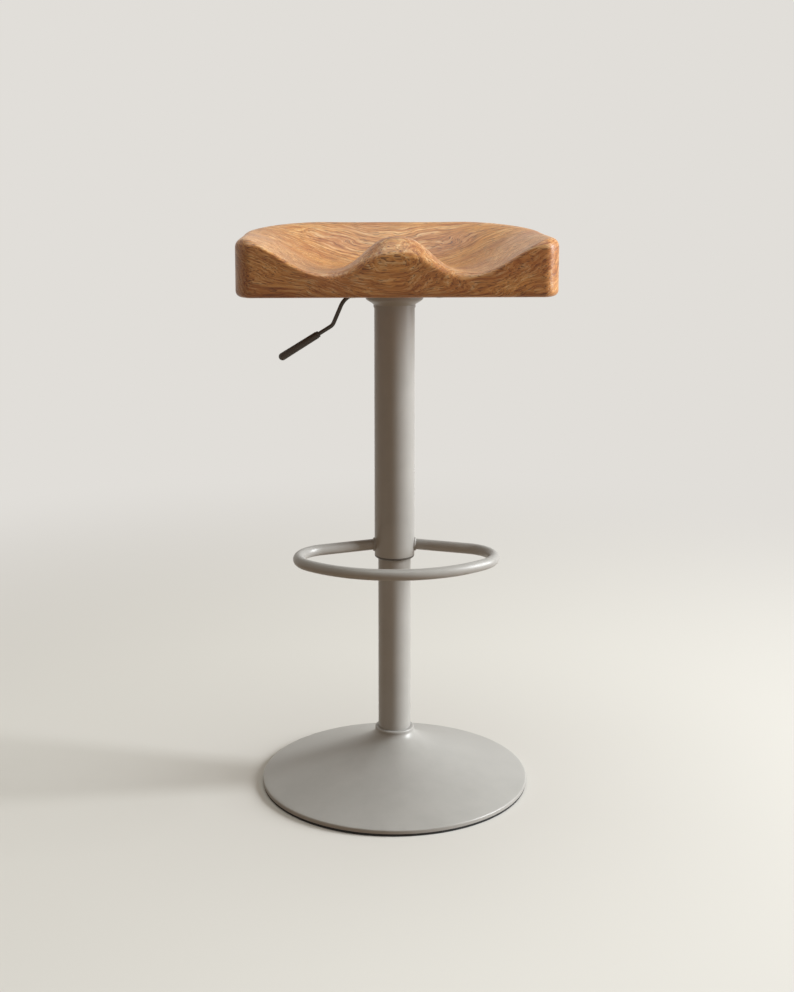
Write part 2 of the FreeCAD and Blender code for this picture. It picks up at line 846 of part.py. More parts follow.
def lever_heading():
    """Direction of the grip, out and down."""
    fall = math.radians(lever_grip_fall)
    return (-math.cos(fall), -math.sin(fall))


def beyond_elbow(distance):
    """Point on the grip's axis, a distance past the elbow."""
    elbow = lever_points()[2]
    heading = lever_heading()
    return FreeCAD.Vector(elbow[0] + heading[0] * distance, 0, elbow[1] + heading[1] * distance)


def make_lever_rod():
    """Round steel rod, bent down at the knee and out again at the elbow."""
    inner, knee, elbow = [FreeCAD.Vector(p[0], 0, p[1]) for p in lever_points()]
    outer = beyond_elbow(lever_straight + grip_overlap)

    def rounded(corner_point, before, after, radius):
        into = (before - corner_point).normalize()
        away = (after - corner_point).normalize()
        half = into.getAngle(away) / 2
        reach = radius / math.tan(half)
        bisector = (into + away).normalize()
        middle = corner_point + bisector * (radius / math.sin(half) - radius)
        return corner_point + into * reach, middle, corner_point + away * reach

    first = rounded(knee, inner, elbow, lever_knee_radius)
    second = rounded(elbow, knee, outer, lever_elbow_radius)
    path = Part.Wire([
        Part.LineSegment(inner, first[0]).toShape(),
        Part.Arc(*first).toShape(),
        Part.LineSegment(first[2], second[0]).toShape(),
        Part.Arc(*second).toShape(),
        Part.LineSegment(second[2], outer).toShape()])
    return bent_tube(path, lever_radius)


def along_grip(shape):
    """Lays a part that is made upright on the lever's outer end, its foot at the elbow."""
    elbow = lever_points()[2]
    heading = lever_heading()
    shape.rotate(FreeCAD.Vector(0, 0, 0), FreeCAD.Vector(0, 1, 0),
                 math.degrees(math.atan2(heading[0], heading[1])))
    shape.translate(FreeCAD.Vector(elbow[0], 0, elbow[1]))
    return shape


def make_lever_ferrule():
    """Short collar on the rod where the grip starts."""
    start = lever_straight - ferrule_length
    bore = lever_radius + running_gap
    ferrule = turned_outline([
        (bore, start), (ferrule_radius - ferrule_chamfer, start),
        (ferrule_radius, start + ferrule_chamfer),
        (ferrule_radius, lever_straight), (bore, lever_straight)])
    return along_grip(ferrule)


def make_lever_grip():
    """Slim grip pushed over the rod's end, a little thicker towards its round tip."""
    start = lever_straight
    end = start + grip_length
    bore = lever_radius + running_gap
    floor = start + grip_overlap + grip_bore_room
    round_start = end - grip_radius
    eighth = grip_radius * math.sin(math.radians(45))
    grip = turned([
        line((bore, start), (grip_root_radius - grip_edge, start)),
        line((grip_root_radius - grip_edge, start), (grip_root_radius, start + grip_edge)),
        line((grip_root_radius, start + grip_edge), (grip_radius, round_start)),
        arc((grip_radius, round_start), (eighth, round_start + eighth), (0, end)),
        line((0, end), (0, floor)),
        line((0, floor), (bore, floor)),
        line((bore, floor), (bore, start))])
    return along_grip(grip)


def make_lever_bush():
    """Nylon grommet in the collar's wall; the lever rocks in its narrow waist."""
    half = lever_bush_length / 2
    groove = 0.5 * collar_wall + easy_gap
    waist = lever_radius + running_gap
    mouth = waist + lever_bush_flare
    rim = lever_bush_radius + lever_bush_flange
    bush = turned_outline([
        (waist, 0), (mouth, half), (rim, half), (rim, groove), (lever_bush_radius, groove),
        (lever_bush_radius, -groove), (rim, -groove), (rim, -half), (mouth, -half)])
    bush.rotate(FreeCAD.Vector(0, 0, 0), FreeCAD.Vector(0, 1, 0), 90)
    bush.translate(FreeCAD.Vector(-lever_pivot_reach, 0, lever_z))
    return bush


nodes = {
    "floor_ring": make_floor_ring,
    "base_shell": make_base_shell,
    "ballast_plate": make_ballast_plate,
    "base_washer": make_base_washer,
    "base_bolt": make_base_bolt,
    "tube_foot": make_tube_foot,
    "stand_tube": make_stand_tube,
    "neck_ring": make_neck_ring,
    "guide_bush": make_guide_bush,
    "anchor_plate": make_anchor_plate,
    "lower_race": lambda: make_thrust_race(anchor_top, rod_radius + easy_gap),
    "thrust_balls": make_thrust_balls,
    "ball_cage": make_ball_cage,
    "upper_race": lambda: make_thrust_race(upper_race_z, rod_radius + running_gap),
    "bump_stop": make_bump_stop,
    "rod_clip": make_rod_clip,
    "piston_rod": make_piston_rod,
    "piston": make_piston,
    "piston_ring": make_piston_ring,
    "pressure_tube": make_pressure_tube,
    "rod_guide": make_rod_guide,
    "rod_seal": make_rod_seal,
    "valve_body": make_valve_body,
    "release_pin": make_release_pin,
    "taper_socket": make_taper_socket,
    "outer_sleeve": make_outer_sleeve,
    "sleeve_collar": make_sleeve_collar,
    "sleeve_bush": make_sleeve_bush,
    "foot_ring": make_foot_ring,
    "seat_plate": make_seat_plate,
    "seat_washers": make_seat_washers,
    "seat_screws": make_seat_screws,
    "seat_inserts": make_seat_inserts,
    "seat": make_seat,
    "lever_rod": make_lever_rod,
    "lever_ferrule": make_lever_ferrule,
    "lever_grip": make_lever_grip,
    "lever_bush": make_lever_bush,
}

os.makedirs("parts", exist_ok=True)
for name, make in nodes.items():
    shape = make()
    shape.exportStep("parts/" + name + ".step")
    print(name, "valid" if shape.isValid() else "INVALID", len(shape.Solids), round(shape.Volume))
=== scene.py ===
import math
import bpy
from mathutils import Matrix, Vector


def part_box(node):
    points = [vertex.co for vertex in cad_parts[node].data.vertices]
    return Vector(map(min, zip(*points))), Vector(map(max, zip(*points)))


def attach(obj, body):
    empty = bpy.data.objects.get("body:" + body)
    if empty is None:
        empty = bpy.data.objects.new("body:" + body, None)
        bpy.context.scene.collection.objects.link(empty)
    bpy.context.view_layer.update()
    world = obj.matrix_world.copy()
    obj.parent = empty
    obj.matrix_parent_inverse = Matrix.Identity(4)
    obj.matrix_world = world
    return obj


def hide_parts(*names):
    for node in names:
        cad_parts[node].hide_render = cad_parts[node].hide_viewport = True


bl_info = {
    "name": "Tractor seat stool",
    "version": (1, 0, 0),
    "blender": (4, 5, 0),
    "location": "View3D > Sidebar > Stool",
    "description": "Builds the pieces and finishes of a gas-lift stool with a carved saddle seat",
    "category": "Add Mesh",
}

from functools import partial

import bmesh
import bpy
from bpy.props import FloatProperty, FloatVectorProperty, IntProperty, PointerProperty
from mathutils import Matrix, Vector

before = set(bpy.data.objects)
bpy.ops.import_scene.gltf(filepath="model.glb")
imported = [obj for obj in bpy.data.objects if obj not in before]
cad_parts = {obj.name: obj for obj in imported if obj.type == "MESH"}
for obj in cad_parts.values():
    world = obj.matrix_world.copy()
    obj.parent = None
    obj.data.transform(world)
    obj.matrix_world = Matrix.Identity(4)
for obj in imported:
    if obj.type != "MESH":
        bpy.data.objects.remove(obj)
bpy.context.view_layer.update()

MM = 0.001
SLIP = 0.1 * MM  # gap between two fitted faces
UP = Vector((0, 0, 1))


def linear(code, alpha=1.0):
    """Colour for a shader from an sRGB hex value."""
    channels = []
    for start in (1, 3, 5):
        value = int(code[start:start + 2], 16) / 255
        channels.append(value / 12.92 if value <= 0.04045 else ((value + 0.055) / 1.055) ** 2.4)
    return (*channels, alpha)


def low(node):
    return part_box(node)[0]


def high(node):
    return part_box(node)[1]


# Sizes and colours that a user would change

def length(name, description, default):
    """A size in metres."""
    return FloatProperty(name=name, description=description, default=default, min=0.0,
                         precision=4, unit="LENGTH")


def share(name, description, default):
    """A plain number that shapes a curve."""
    return FloatProperty(name=name, description=description, default=default, min=0.0, precision=3)


def slope(name, description, default):
    """An angle, given in degrees."""
    return FloatProperty(name=name, description=description, default=math.radians(default),
                         subtype="ANGLE", unit="ROTATION")


def colour(name, description, code):
    """A colour, given as an sRGB hex value."""
    return FloatVectorProperty(name=name, description=description, default=linear(code)[:3],
                               subtype="COLOR", size=3, min=0.0, max=1.0)


class SeatSizes(bpy.types.PropertyGroup):
    """The carved seat; heights are over its flat underside."""
    underside: length("Underside", "Height of the seat's underside over the floor", low("seat").z)
    half_width: length("Half width", "Half of the seat's width", high("seat").x)
    front: length("Front", "Reach of the seat in front of the column", -low("seat").y)
    back: length("Back", "Reach of the seat behind the column", high("seat").y)
    back_bow: length("Back bow", "How far the back edge bows out", 16 * MM)
    front_corner: length("Front corner", "Radius of the front corners' side part", 38 * MM)
    corner_turn: length("Corner turn", "Radius of the quick turn beside the front face", 13 * MM)
    turn_angle: slope("Turn angle", "How far the quick turn goes round", 42)
    back_corner: length("Back corner", "Radius of the back corners in plan", 122 * MM)
    rim_rounding: length("Rim rounding", "Radius of the upper edge", 13 * MM)
    crisp_rounding: length("Crisp rounding", "Radius of the front edge beside the thigh scoops",
                           5 * MM)
    lower_rounding: length("Lower rounding", "Radius of the lower edge", 8 * MM)
    back_rim: length("Back rim", "Height of the rim at the middle of the back", 90.3 * MM)
    back_crown: length("Back crown", "How much the back rim falls to its ends", 5 * MM)
    side_rim: length("Side rim", "Height of the rim at the sides", 80 * MM)
    front_rim: length("Front rim", "Height of the rim at the front corners", 83 * MM)
    dish: length("Dish", "Height of the dish's floor", 30 * MM)
    scoop_mouth: length("Scoop mouth", "Height of the thigh scoops at the front edge", 33.5 * MM)
    flat_share: share("Flat share", "Share of the dish that is flat", 0.36)
    rim_share: share("Rim share", "Share of the width at which the rim is reached", 0.97)
    mouth_flat_share: share("Mouth flat share", "Share that is flat at the front edge", 0.47)
    mouth_rim_share: share("Mouth rim share", "Share at which the rim is reached in front", 1.0)
    squareness: share("Squareness", "How square the dish is in plan", 2.8)
    back_rise_start: length("Back rise", "Where the rim starts to rise to the back", 30 * MM)
    pommel: length("Pommel", "Height of the pommel's crest", 81.5 * MM)
    pommel_mouth: length("Pommel mouth", "Height of the pommel at the front edge", 60 * MM)
    pommel_half_width: length("Pommel half width", "Half width of the pommel", 56 * MM)
    pommel_setback: length("Pommel setback", "Distance of the crest from the front edge", 40 * MM)
    pommel_run: length("Pommel run", "Length over which the pommel fades to the back", 82 * MM)
    pommel_roundness: share("Pommel roundness", "How full the pommel's section is", 2.6)
    points_round: IntProperty(name="Points round", description="Points round the seat's edge",
                              default=420, min=80, max=800)


class BaseSizes(bpy.types.PropertyGroup):
    """The trumpet base and the fixed tube."""
    radius: length("Radius", "Radius of the base", high("base_shell").x)
    foot: length("Foot", "Height of the shell's lower edge", low("base_shell").z)
    top: length("Top", "Height of the shell's neck", high("base_shell").z)
    wall: length("Wall", "Thickness of the shell", 1.5 * MM)
    edge_rounding: length("Edge rounding", "Radius over the rim", 2.5 * MM)
    edge_height: length("Edge height", "Height of the upright edge", 3.5 * MM)
    rim_slope: slope("Rim slope", "Slope of the shell at its rim", 17.6)
    rim_pull: length("Rim pull", "How long the cone stays straight", 92.5 * MM)
    neck_radius: length("Neck radius", "Outer radius of the neck", 28.9 * MM)
    neck_pull: length("Neck pull", "How long the neck stays upright", 18 * MM)
    neck_lean: slope("Neck lean", "How far the neck leans out at its top", 4)
    tube_radius: length("Tube radius", "Radius of the fixed tube", high("stand_tube").x)
    tube_wall: length("Tube wall", "Wall of the fixed tube", 2 * MM)


class ColumnSizes(bpy.types.PropertyGroup):
    """The sliding sleeve, its bush and its collar."""
    radius: length("Radius", "Outer radius of the sleeve", high("outer_sleeve").x)
    wall: length("Wall", "Wall of the sleeve", 1.5 * MM)
    bottom: length("Bottom", "Height of the sleeve's lower end", low("outer_sleeve").z)
    top: length("Top", "Height of the sleeve's upper end", high("outer_sleeve").z)
    edge: length("Edge", "Rounding of the sleeve's lower edge", 0.6 * MM)
    bush_flange: length("Bush flange", "Height of the bush under the sleeve", 3.5 * MM)
    collar_radius: length("Collar radius", "Radius of the bell collar", high("sleeve_collar").x)
    collar_wall: length("Collar wall", "Wall of the collar", 1.5 * MM)
    collar_skirt: length("Collar skirt", "Length of the collar's skirt on the sleeve", 7 * MM)


class FootRingSizes(bpy.types.PropertyGroup):
    """The foot ring, measured on the tube's centreline."""
    tube_radius: length("Tube radius", "Radius of the ring's tube", 8 * MM)
    tube_wall: length("Tube wall", "Wall of the ring's tube", 1.5 * MM)
    half_width: length("Half width", "Half of the ring's width", 141 * MM)
    reach: length("Reach", "Reach of the ring in front of the column", 165 * MM)
    corner: length("Corner", "Radius of the two bends", 51 * MM)
    sweep: slope("Sweep", "How far the arms sweep to the front", 20.5)
    bead: length("Weld bead", "Radius of the weld bead", 1.8 * MM)


class LeverSizes(bpy.types.PropertyGroup):
    """The release lever, in the upright plane through the column's axis."""
    height: length("Height", "Height of the lever's inner end", 742.5 * MM)
    rod_radius: length("Rod radius", "Radius of the lever's rod", 3 * MM)
    inner_end: length("Inner end", "How far the rod passes the column's axis", 5 * MM)
    knee_reach: length("Knee reach", "Distance of the knee from the axis", 70.8 * MM)
    knee_radius: length("Knee radius", "Radius of the bend at the knee", 29 * MM)
    knee_fall: slope("Knee fall", "Slope of the rod after the knee", 66.7)
    elbow_reach: length("Elbow reach", "Distance of the elbow from the axis", 90.6 * MM)
    elbow_radius: length("Elbow radius", "Radius of the bend at the elbow", 14 * MM)
    grip_fall: slope("Grip fall", "Slope of the grip", 32)
    straight: length("Straight", "Length of rod from the elbow to the grip", 26.4 * MM)
    overlap: length("Overlap", "Length of rod inside the grip", 34 * MM)
    grip_length: length("Grip length", "Length of the grip", 66 * MM)
    grip_radius: length("Grip radius", "Radius of the grip at its tip", 5.7 * MM)
    grip_root: length("Grip root", "Radius of the grip at its root", 5.3 * MM)
    ferrule_radius: length("Ferrule radius", "Radius of the ferrule", 4.8 * MM)
    ferrule_length: length("Ferrule length", "Length of the ferrule", 3 * MM)


class StoolColours(bpy.types.PropertyGroup):
    """Colours of the finishes."""
    wood_light: colour("Early wood", "Pale wood between the rings", "#dab789")
    wood_mid: colour("Wood", "Main tone of the wood", "#c38b50")
    wood_dark: colour("Late wood", "Dark wood of the rings", "#8d4d25")
    wood_pore: colour("Pores", "Colour in the open pores", "#55341d")
    paint: colour("Grey paint", "Powder coat of the column, ring and base", "#a7a5a1")
    lever_paint: colour("Lever paint", "Coat of the lever's rod", "#4a443d")
    grip: colour("Grip", "Moulded grip", "#4b443d")
    floor: colour("Floor", "Floor of the studio", "#dad7d2")
    backdrop: colour("Backdrop", "Backdrop of the studio", "#e1ded9")


# Finishes

def add_node(tree, kind, inputs, stops=(), **settings):
    """Adds a node with its settings and, on a ramp, its stops.
    Each input is a value, or a socket or node to link; of a node the first output counts."""
    new = tree.nodes.new(kind)
    for key, value in settings.items():
        setattr(new, key, value)
    if stops:
        elements = new.color_ramp.elements
        while len(elements) < len(stops):
            elements.new(0.5)
        for element, (place, shade) in zip(elements, stops):
            element.position = place
            element.color = shade
    for key, value in inputs.items():
        if isinstance(value, bpy.types.Node):
            value = value.outputs[0]
        if isinstance(value, bpy.types.NodeSocket):
            tree.links.new(value, new.inputs[key])
        else:
            new.inputs[key].default_value = value
    return new


def new_finish(name, base, roughness, metallic=0.0, specular=0.5):
    """A material with a plain shader; returns it with the function that adds nodes to it,
    its shader and its coordinates in mm."""
    material = bpy.data.materials.new(name)
    material.use_nodes = True
    add = partial(add_node, material.node_tree)
    shader = next(n for n in material.node_tree.nodes if n.type == "BSDF_PRINCIPLED")
    for key, value in (("Base Color", (*base[:3], 1)), ("Roughness", roughness),
                       ("Metallic", metallic), ("Specular IOR Level", specular)):
        shader.inputs[key].default_value = value
    place = add("ShaderNodeTexCoord", {})
    return material, add, shader, add("ShaderNodeMapping", {
        "Vector": place.outputs["Object"], "Scale": (1000, 1000, 1000)})


def dress(shader, add, tint, pattern, dull, bright, **relief):
    """Gives a shader its tint, a roughness that follows a pattern, and a relief."""
    gloss = add("ShaderNodeMapRange", {
        "Value": pattern, "From Min": 0.3, "From Max": 0.7, "To Min": dull, "To Max": bright})
    bump = add("ShaderNodeBump", relief)
    for key, output in (("Base Color", tint), ("Roughness", gloss.outputs[0]),
                        ("Normal", bump.outputs[0])):
        shader.id_data.links.new(output, shader.inputs[key])


def seen_rays(add):
    """1 for the rays of the eye, of reflections and of what is seen through something."""
    path = add("ShaderNodeLightPath", {})
    through = add("ShaderNodeMath", {
        0: path.outputs["Is Glossy Ray"], 1: path.outputs["Is Transmission Ray"]},
        operation="MAXIMUM")
    return add("ShaderNodeMath", {0: path.outputs["Is Camera Ray"], 1: through},
               operation="MAXIMUM")


def grey(value):
    return (value, value, value, 1)


def mid_of(one, other):
    """The colour halfway between two."""
    return (*[(a + b) / 2 for a, b in zip(one[:3], other[:3])], 1)


def tone(base, factor):
    """A colour made lighter or darker."""
    return (*[min(1.0, channel * factor) for channel in base[:3]], 1)


def oiled_oak(colours):
    """Oak, carved with a gouge, sanded and oiled: growth rings cut open by the dish,
    pores as short dark dashes along the grain, and a satin gloss that the pores break."""
    material, add, shader, mm = new_finish("oiled_oak", colours.wood_mid, 0.36, specular=0.45)
    # The trunk ran from side to side, so every pattern is long in X.
    # Growth rings lie round a pith under the seat; slow waves some 100 mm long
    # and short ripples of about 30 mm shift them. The gouge's facets are sanded almost flat
    noises = {}
    for key, scale, detail, roughness in (
            ("slow", (0.0095, 0.016, 0.020), 1.0, 0.4), ("ripple", (0.034, 0.05, 0.05), 2.0, 0.5),
            ("facets", (0.030, 0.060, 0.060), 1.0, 0.5)):
        place = add("ShaderNodeMapping", {"Vector": mm, "Scale": scale})
        noises[key] = add("ShaderNodeTexNoise", {
            "Vector": place, "Scale": 1.0, "Detail": detail, "Roughness": roughness})
    slow_shift = add("ShaderNodeMath", {0: noises["slow"], 1: 52.0, 2: -26.0},
                     operation="MULTIPLY_ADD")
    shift = add("ShaderNodeMath", {0: noises["ripple"], 1: 9.0, 2: slow_shift},
                operation="MULTIPLY_ADD")
    pith = add("ShaderNodeMapping", {"Vector": mm, "Location": (0, 25, -640)})
    part = add("ShaderNodeSeparateXYZ", {"Vector": pith})
    flat = add("ShaderNodeCombineXYZ", {"Y": part.outputs["Y"], "Z": part.outputs["Z"]})
    radius = add("ShaderNodeVectorMath", {0: flat}, operation="LENGTH")
    # The trunk is crooked at the pommel, so the rings rise from there to both ends
    aside = add("ShaderNodeCombineXYZ", {"X": part.outputs["X"], "Y": 45.0})
    crook = add("ShaderNodeVectorMath", {0: aside}, operation="LENGTH")
    bent = add("ShaderNodeMath", {0: crook.outputs["Value"], 1: -0.28, 2: shift},
               operation="MULTIPLY_ADD")
    depth = add("ShaderNodeMath", {0: radius.outputs["Value"], 1: bent}, operation="ADD")
    angle = add("ShaderNodeMath", {0: part.outputs["Y"], 1: part.outputs["Z"]},
                operation="ARCTAN2")
    sweep = add("ShaderNodeMath", {0: angle, 1: 170.0}, operation="MULTIPLY")
    # Millimetres along the trunk, outwards through the rings, and round them
    grain = add("ShaderNodeCombineXYZ", {"X": part.outputs["X"], "Y": depth, "Z": sweep})
    # Streaks of paler and darker fibres, 2 to 3 mm thick; on the end grain of the sides
    # they follow the rings. Broad patches of redder and paler wood. Pores: dashes some
    # 15 mm long and 0.9 mm wide
    for key, scale, detail, roughness in (
            ("long", (0.015, 0.42, 0.20), 4.0, 0.66), ("end", (0.015, 0.50, 0.020), 4.0, 0.66),
            ("patches", (0.008, 0.040, 0.020), 2.0, 0.5), ("pores", (0.062, 1.05, 1.0), 0.0, 0.5)):
        place = add("ShaderNodeMapping", {"Vector": grain, "Scale": scale})
        noises[key] = add("ShaderNodeTexNoise", {
            "Vector": place, "Scale": 1.0, "Detail": detail, "Roughness": roughness})
    facing = add("ShaderNodeTexCoord", {})
    sideways = add("ShaderNodeSeparateXYZ", {"Vector": facing.outputs["Normal"]})
    aslant = add("ShaderNodeMath", {0: sideways.outputs["X"]}, operation="ABSOLUTE")
    end_grain = add("ShaderNodeMapRange", {"Value": aslant, "From Min": 0.60, "From Max": 0.92},
                    interpolation_type="SMOOTHSTEP")
    streaks = add("ShaderNodeMix", {0: end_grain, 2: noises["long"], 3: noises["end"]},
                  data_type="FLOAT")
    streak_tone = add("ShaderNodeValToRGB", {"Fac": streaks}, stops=[
        (0.28, tone(colours.wood_dark, 0.78)), (0.42, mid_of(colours.wood_dark, colours.wood_mid)),
        (0.53, (*colours.wood_mid, 1)), (0.68, (*colours.wood_light, 1))])
    # Growth rings, 8 mm apart, each with a thin dark line of late wood
    rings = add("ShaderNodeMath", {0: depth, 1: 8.0}, operation="DIVIDE")
    ring = add("ShaderNodeMath", {0: rings}, operation="FRACT")
    ring_tone = add("ShaderNodeValToRGB", {"Fac": ring}, stops=[
        (0.0, grey(0.80)), (0.12, grey(0.98)), (0.42, grey(1.05)), (0.78, grey(0.98)),
        (1.0, (0.78, 0.70, 0.60, 1))])
    patch_tone = add("ShaderNodeValToRGB", {"Fac": noises["patches"]}, stops=[
        (0.36, (0.78, 0.64, 0.56, 1)), (0.50, (0.97, 0.95, 0.94, 1)),
        (0.64, (1.10, 1.09, 1.02, 1))])
    tinted = streak_tone.outputs[0]
    for strength, tint in ((0.6, ring_tone), (0.85, patch_tone)):
        tinted = add("ShaderNodeMix", {0: strength, 6: tinted, 7: tint},
                     data_type="RGBA", blend_type="MULTIPLY").outputs[2]
    # Painted light: the wood is painted paler towards its right end, the side that the lamp
    # lights, and a little darker towards its left end
    painted_light_ramp = add("ShaderNodeMapRange", {
        "Value": part.outputs["X"], "From Min": -220.0, "From Max": 220.0,
        "To Min": 0.94, "To Max": 1.14})
    wood_with_painted_light = add("ShaderNodeVectorMath", {0: tinted, "Scale": painted_light_ramp}, operation="SCALE")
    # The pores lie closest together in the early wood
    early = add("ShaderNodeMapRange", {
        "Value": ring, "From Min": 0.0, "From Max": 0.6, "To Min": 0.06, "To Max": 0.0})
    pore_level = add("ShaderNodeMath", {0: noises["pores"], 1: early}, operation="ADD")
    pore = add("ShaderNodeMapRange", {
        "Value": pore_level, "From Min": 0.60, "From Max": 0.76, "To Max": 0.75},
        interpolation_type="SMOOTHSTEP")
    pored = add("ShaderNodeMix", {0: pore, 6: wood_with_painted_light, 7: (*colours.wood_pore, 1)},
                data_type="RGBA")
    relief = add("ShaderNodeMath", {0: pore, 1: -0.8, 2: streaks}, operation="MULTIPLY_ADD")
    broad = add("ShaderNodeBump", {
        "Strength": 0.5, "Distance": 0.0012, "Height": noises["facets"]})
    dress(shader, add, pored.outputs[2], streaks, 0.42, 0.29,
          Strength=0.6, Distance=0.00035, Height=relief, Normal=broad)
    return material


def powder_coat(name, base, roughness):
    """Steel with a baked powder coat: an even satin film with a faint orange peel,
    drawn 2.4 mm coarse so that it shows, and a slight unevenness of tone."""
    material, add, shader, mm = new_finish(name, base, roughness)
    cloud = add("ShaderNodeTexNoise", {
        "Vector": mm, "Scale": 0.018, "Detail": 3.0, "Roughness": 0.6})
    body = add("ShaderNodeValToRGB", {"Fac": cloud},
               stops=[(0.35, tone(base, 0.955)), (0.65, tone(base, 1.035))])
    specks = add("ShaderNodeTexNoise", {"Vector": mm, "Scale": 0.85, "Detail": 1.0})
    speck = add("ShaderNodeMapRange", {
        "Value": specks, "From Min": 0.66, "From Max": 0.74, "To Max": 0.22},
        interpolation_type="SMOOTHSTEP")
    coat = add("ShaderNodeMix", {0: speck, 6: body, 7: tone(base, 0.72)}, data_type="RGBA")
    peel = add("ShaderNodeTexNoise", {"Vector": mm, "Scale": 0.42, "Detail": 1.5})
    dress(shader, add, coat.outputs[2], cloud, roughness - 0.04, roughness + 0.05,
          Strength=0.35, Distance=0.00009, Height=peel)
    return material


def moulded(name, base, roughness, grit=0.6):
    """Moulded plastic or rubber: matte, with the mould's fine spark-eroded grain."""
    material, add, shader, mm = new_finish(name, base, roughness)
    grain = add("ShaderNodeTexNoise", {
        "Vector": mm, "Scale": grit, "Detail": 2.0, "Roughness": 0.6})
    body = add("ShaderNodeValToRGB", {"Fac": grain},
               stops=[(0.35, tone(base, 0.86)), (0.68, tone(base, 1.14))])
    dress(shader, add, body.outputs[0], grain, roughness - 0.05, roughness + 0.06,
          Strength=0.4, Distance=0.00012, Height=grain)
    return material


def bare_metal(name, base, roughness, lay=(0.05, 0.05, 0.9), depth=0.00004):
    """Bare or plated metal: tool marks or brushing as fine lines, and a slight tarnish.
    The lay gives how many marks cross a millimetre in each direction."""
    material, add, shader, mm = new_finish(name, base, roughness, metallic=1.0)
    place = add("ShaderNodeMapping", {"Vector": mm, "Scale": lay})
    marks = add("ShaderNodeTexNoise", {
        "Vector": place, "Scale": 1.0, "Detail": 3.0, "Roughness": 0.7})
    tarnish = add("ShaderNodeTexNoise", {"Vector": mm, "Scale": 0.06, "Detail": 3.0})
    body = add("ShaderNodeValToRGB", {"Fac": tarnish},
               stops=[(0.3, tone(base, 0.82)), (0.7, tone(base, 1.05))])
    dress(shader, add, body.outputs[0], marks, max(0.03, roughness - 0.08), roughness + 0.10,
          Strength=0.4, Distance=depth, Height=marks)
    return material


FINISHES = {}


def wear(mesh, finish):
    """Gives a mesh its finish; the first piece makes them all."""
    if not FINISHES:
        make_finishes(bpy.context.scene.stool_colours)
    mesh.materials.clear()
    mesh.materials.append(FINISHES[finish])


def make_finishes(colours):
    """Makes every finish of the stool."""
    FINISHES.update(
        oak=oiled_oak(colours),
        paint=powder_coat("grey_powder_coat", colours.paint, 0.35),
        lever_paint=powder_coat("dark_powder_coat", colours.lever_paint, 0.42),
        grip=moulded("vinyl_grip", colours.grip, 0.55),
        rubber=moulded("moulded_rubber", linear("#1d1c1b"), 0.72, 0.4),
        black_acetal=moulded("black_acetal", linear("#1b1b1c"), 0.36),
        grey_acetal=moulded("dark_grey_acetal", linear("#57534d"), 0.42),
        white_acetal=moulded("natural_acetal", linear("#dcd9cf"), 0.38),
        zinc=bare_metal("zinc_plated_steel", linear("#c3c4c1"), 0.34, (0.8, 0.8, 0.8)),
        steel=bare_metal("mill_finish_steel", linear("#8f8d8a"), 0.46, (0.8, 0.8, 0.05)),
        cylinder=powder_coat("black_cylinder_lacquer", linear("#191a1b"), 0.22),
        chrome=bare_metal("hard_chrome", linear("#d9dadc"), 0.08, (0.4, 0.4, 0.9), 0.00001),
        cast_iron=bare_metal("cast_iron", linear("#5b5855"), 0.66, (0.5, 0.5, 0.5), 0.0003),
        brass=bare_metal("turned_brass", linear("#c9a45c"), 0.28, (0.1, 0.1, 2.0)),
    )


# Modelling by hand: each piece starts from a primitive in edit mode

def start_circle(points, radius, place, turn=(0, 0, 0), fill="NOTHING"):
    """Deselects all and starts a piece with a circle, in edit mode."""
    if bpy.context.object and bpy.context.object.mode != "OBJECT":
        bpy.ops.object.mode_set(mode="OBJECT")
    bpy.ops.object.select_all(action="DESELECT")
    bpy.ops.mesh.primitive_circle_add(vertices=points, radius=radius, fill_type=fill,
                                      location=place, rotation=turn, enter_editmode=True)
    bpy.ops.mesh.select_mode(type="VERT")
    bpy.ops.mesh.select_all(action="SELECT")


def extrude(move=(0, 0, 0)):
    """Extrudes the selected edges and moves them."""
    bpy.ops.mesh.extrude_edges_move(TRANSFORM_OT_translate={"value": tuple(move)})


def close_mesh():
    """Merges doubles, turns the faces outwards and leaves edit mode."""
    bpy.ops.mesh.select_all(action="SELECT")
    bpy.ops.mesh.remove_doubles(threshold=1e-6)
    bpy.ops.mesh.normals_make_consistent(inside=False)
    bpy.ops.object.mode_set(mode="OBJECT")
    bpy.ops.object.transform_apply(location=True, rotation=True, scale=True)


def finish_piece(name, body, node, finish, smooth=35):
    """Applies the place, names the piece, gives it its finish, joins it to its body and hides the
    node that it replaces.
    """
    piece = bpy.context.object
    bpy.ops.object.transform_apply(location=True, rotation=True, scale=True)
    piece.name = name
    piece.data.name = name
    bpy.ops.object.shade_smooth_by_angle(angle=math.radians(smooth))
    wear(piece.data, finish)
    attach(piece, body)
    if node:
        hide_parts(node)
    return piece


def rounded(corners, steps=5):
    """Outline with its corners rounded; each corner is (radius, height, rounding)."""
    outline = []
    count = len(corners)
    for i, (r, z, rounding) in enumerate(corners):
        here = Vector((r, z))
        if not rounding:
            outline.append((r, z))
            continue
        into = (Vector(corners[i - 1][:2]) - here).normalized()
        away = (Vector(corners[(i + 1) % count][:2]) - here).normalized()
        half = into.angle(away) / 2
        centre = here + (into + away).normalized() * rounding / math.sin(half)
        first = here + into * rounding / math.tan(half) - centre
        last = here + away * rounding / math.tan(half) - centre
        turn = first.angle_signed(last)
        for step in range(steps + 1):
            point = centre + Matrix.Rotation(-turn * step / steps, 2) @ first
            outline.append(tuple(point))
    return outline


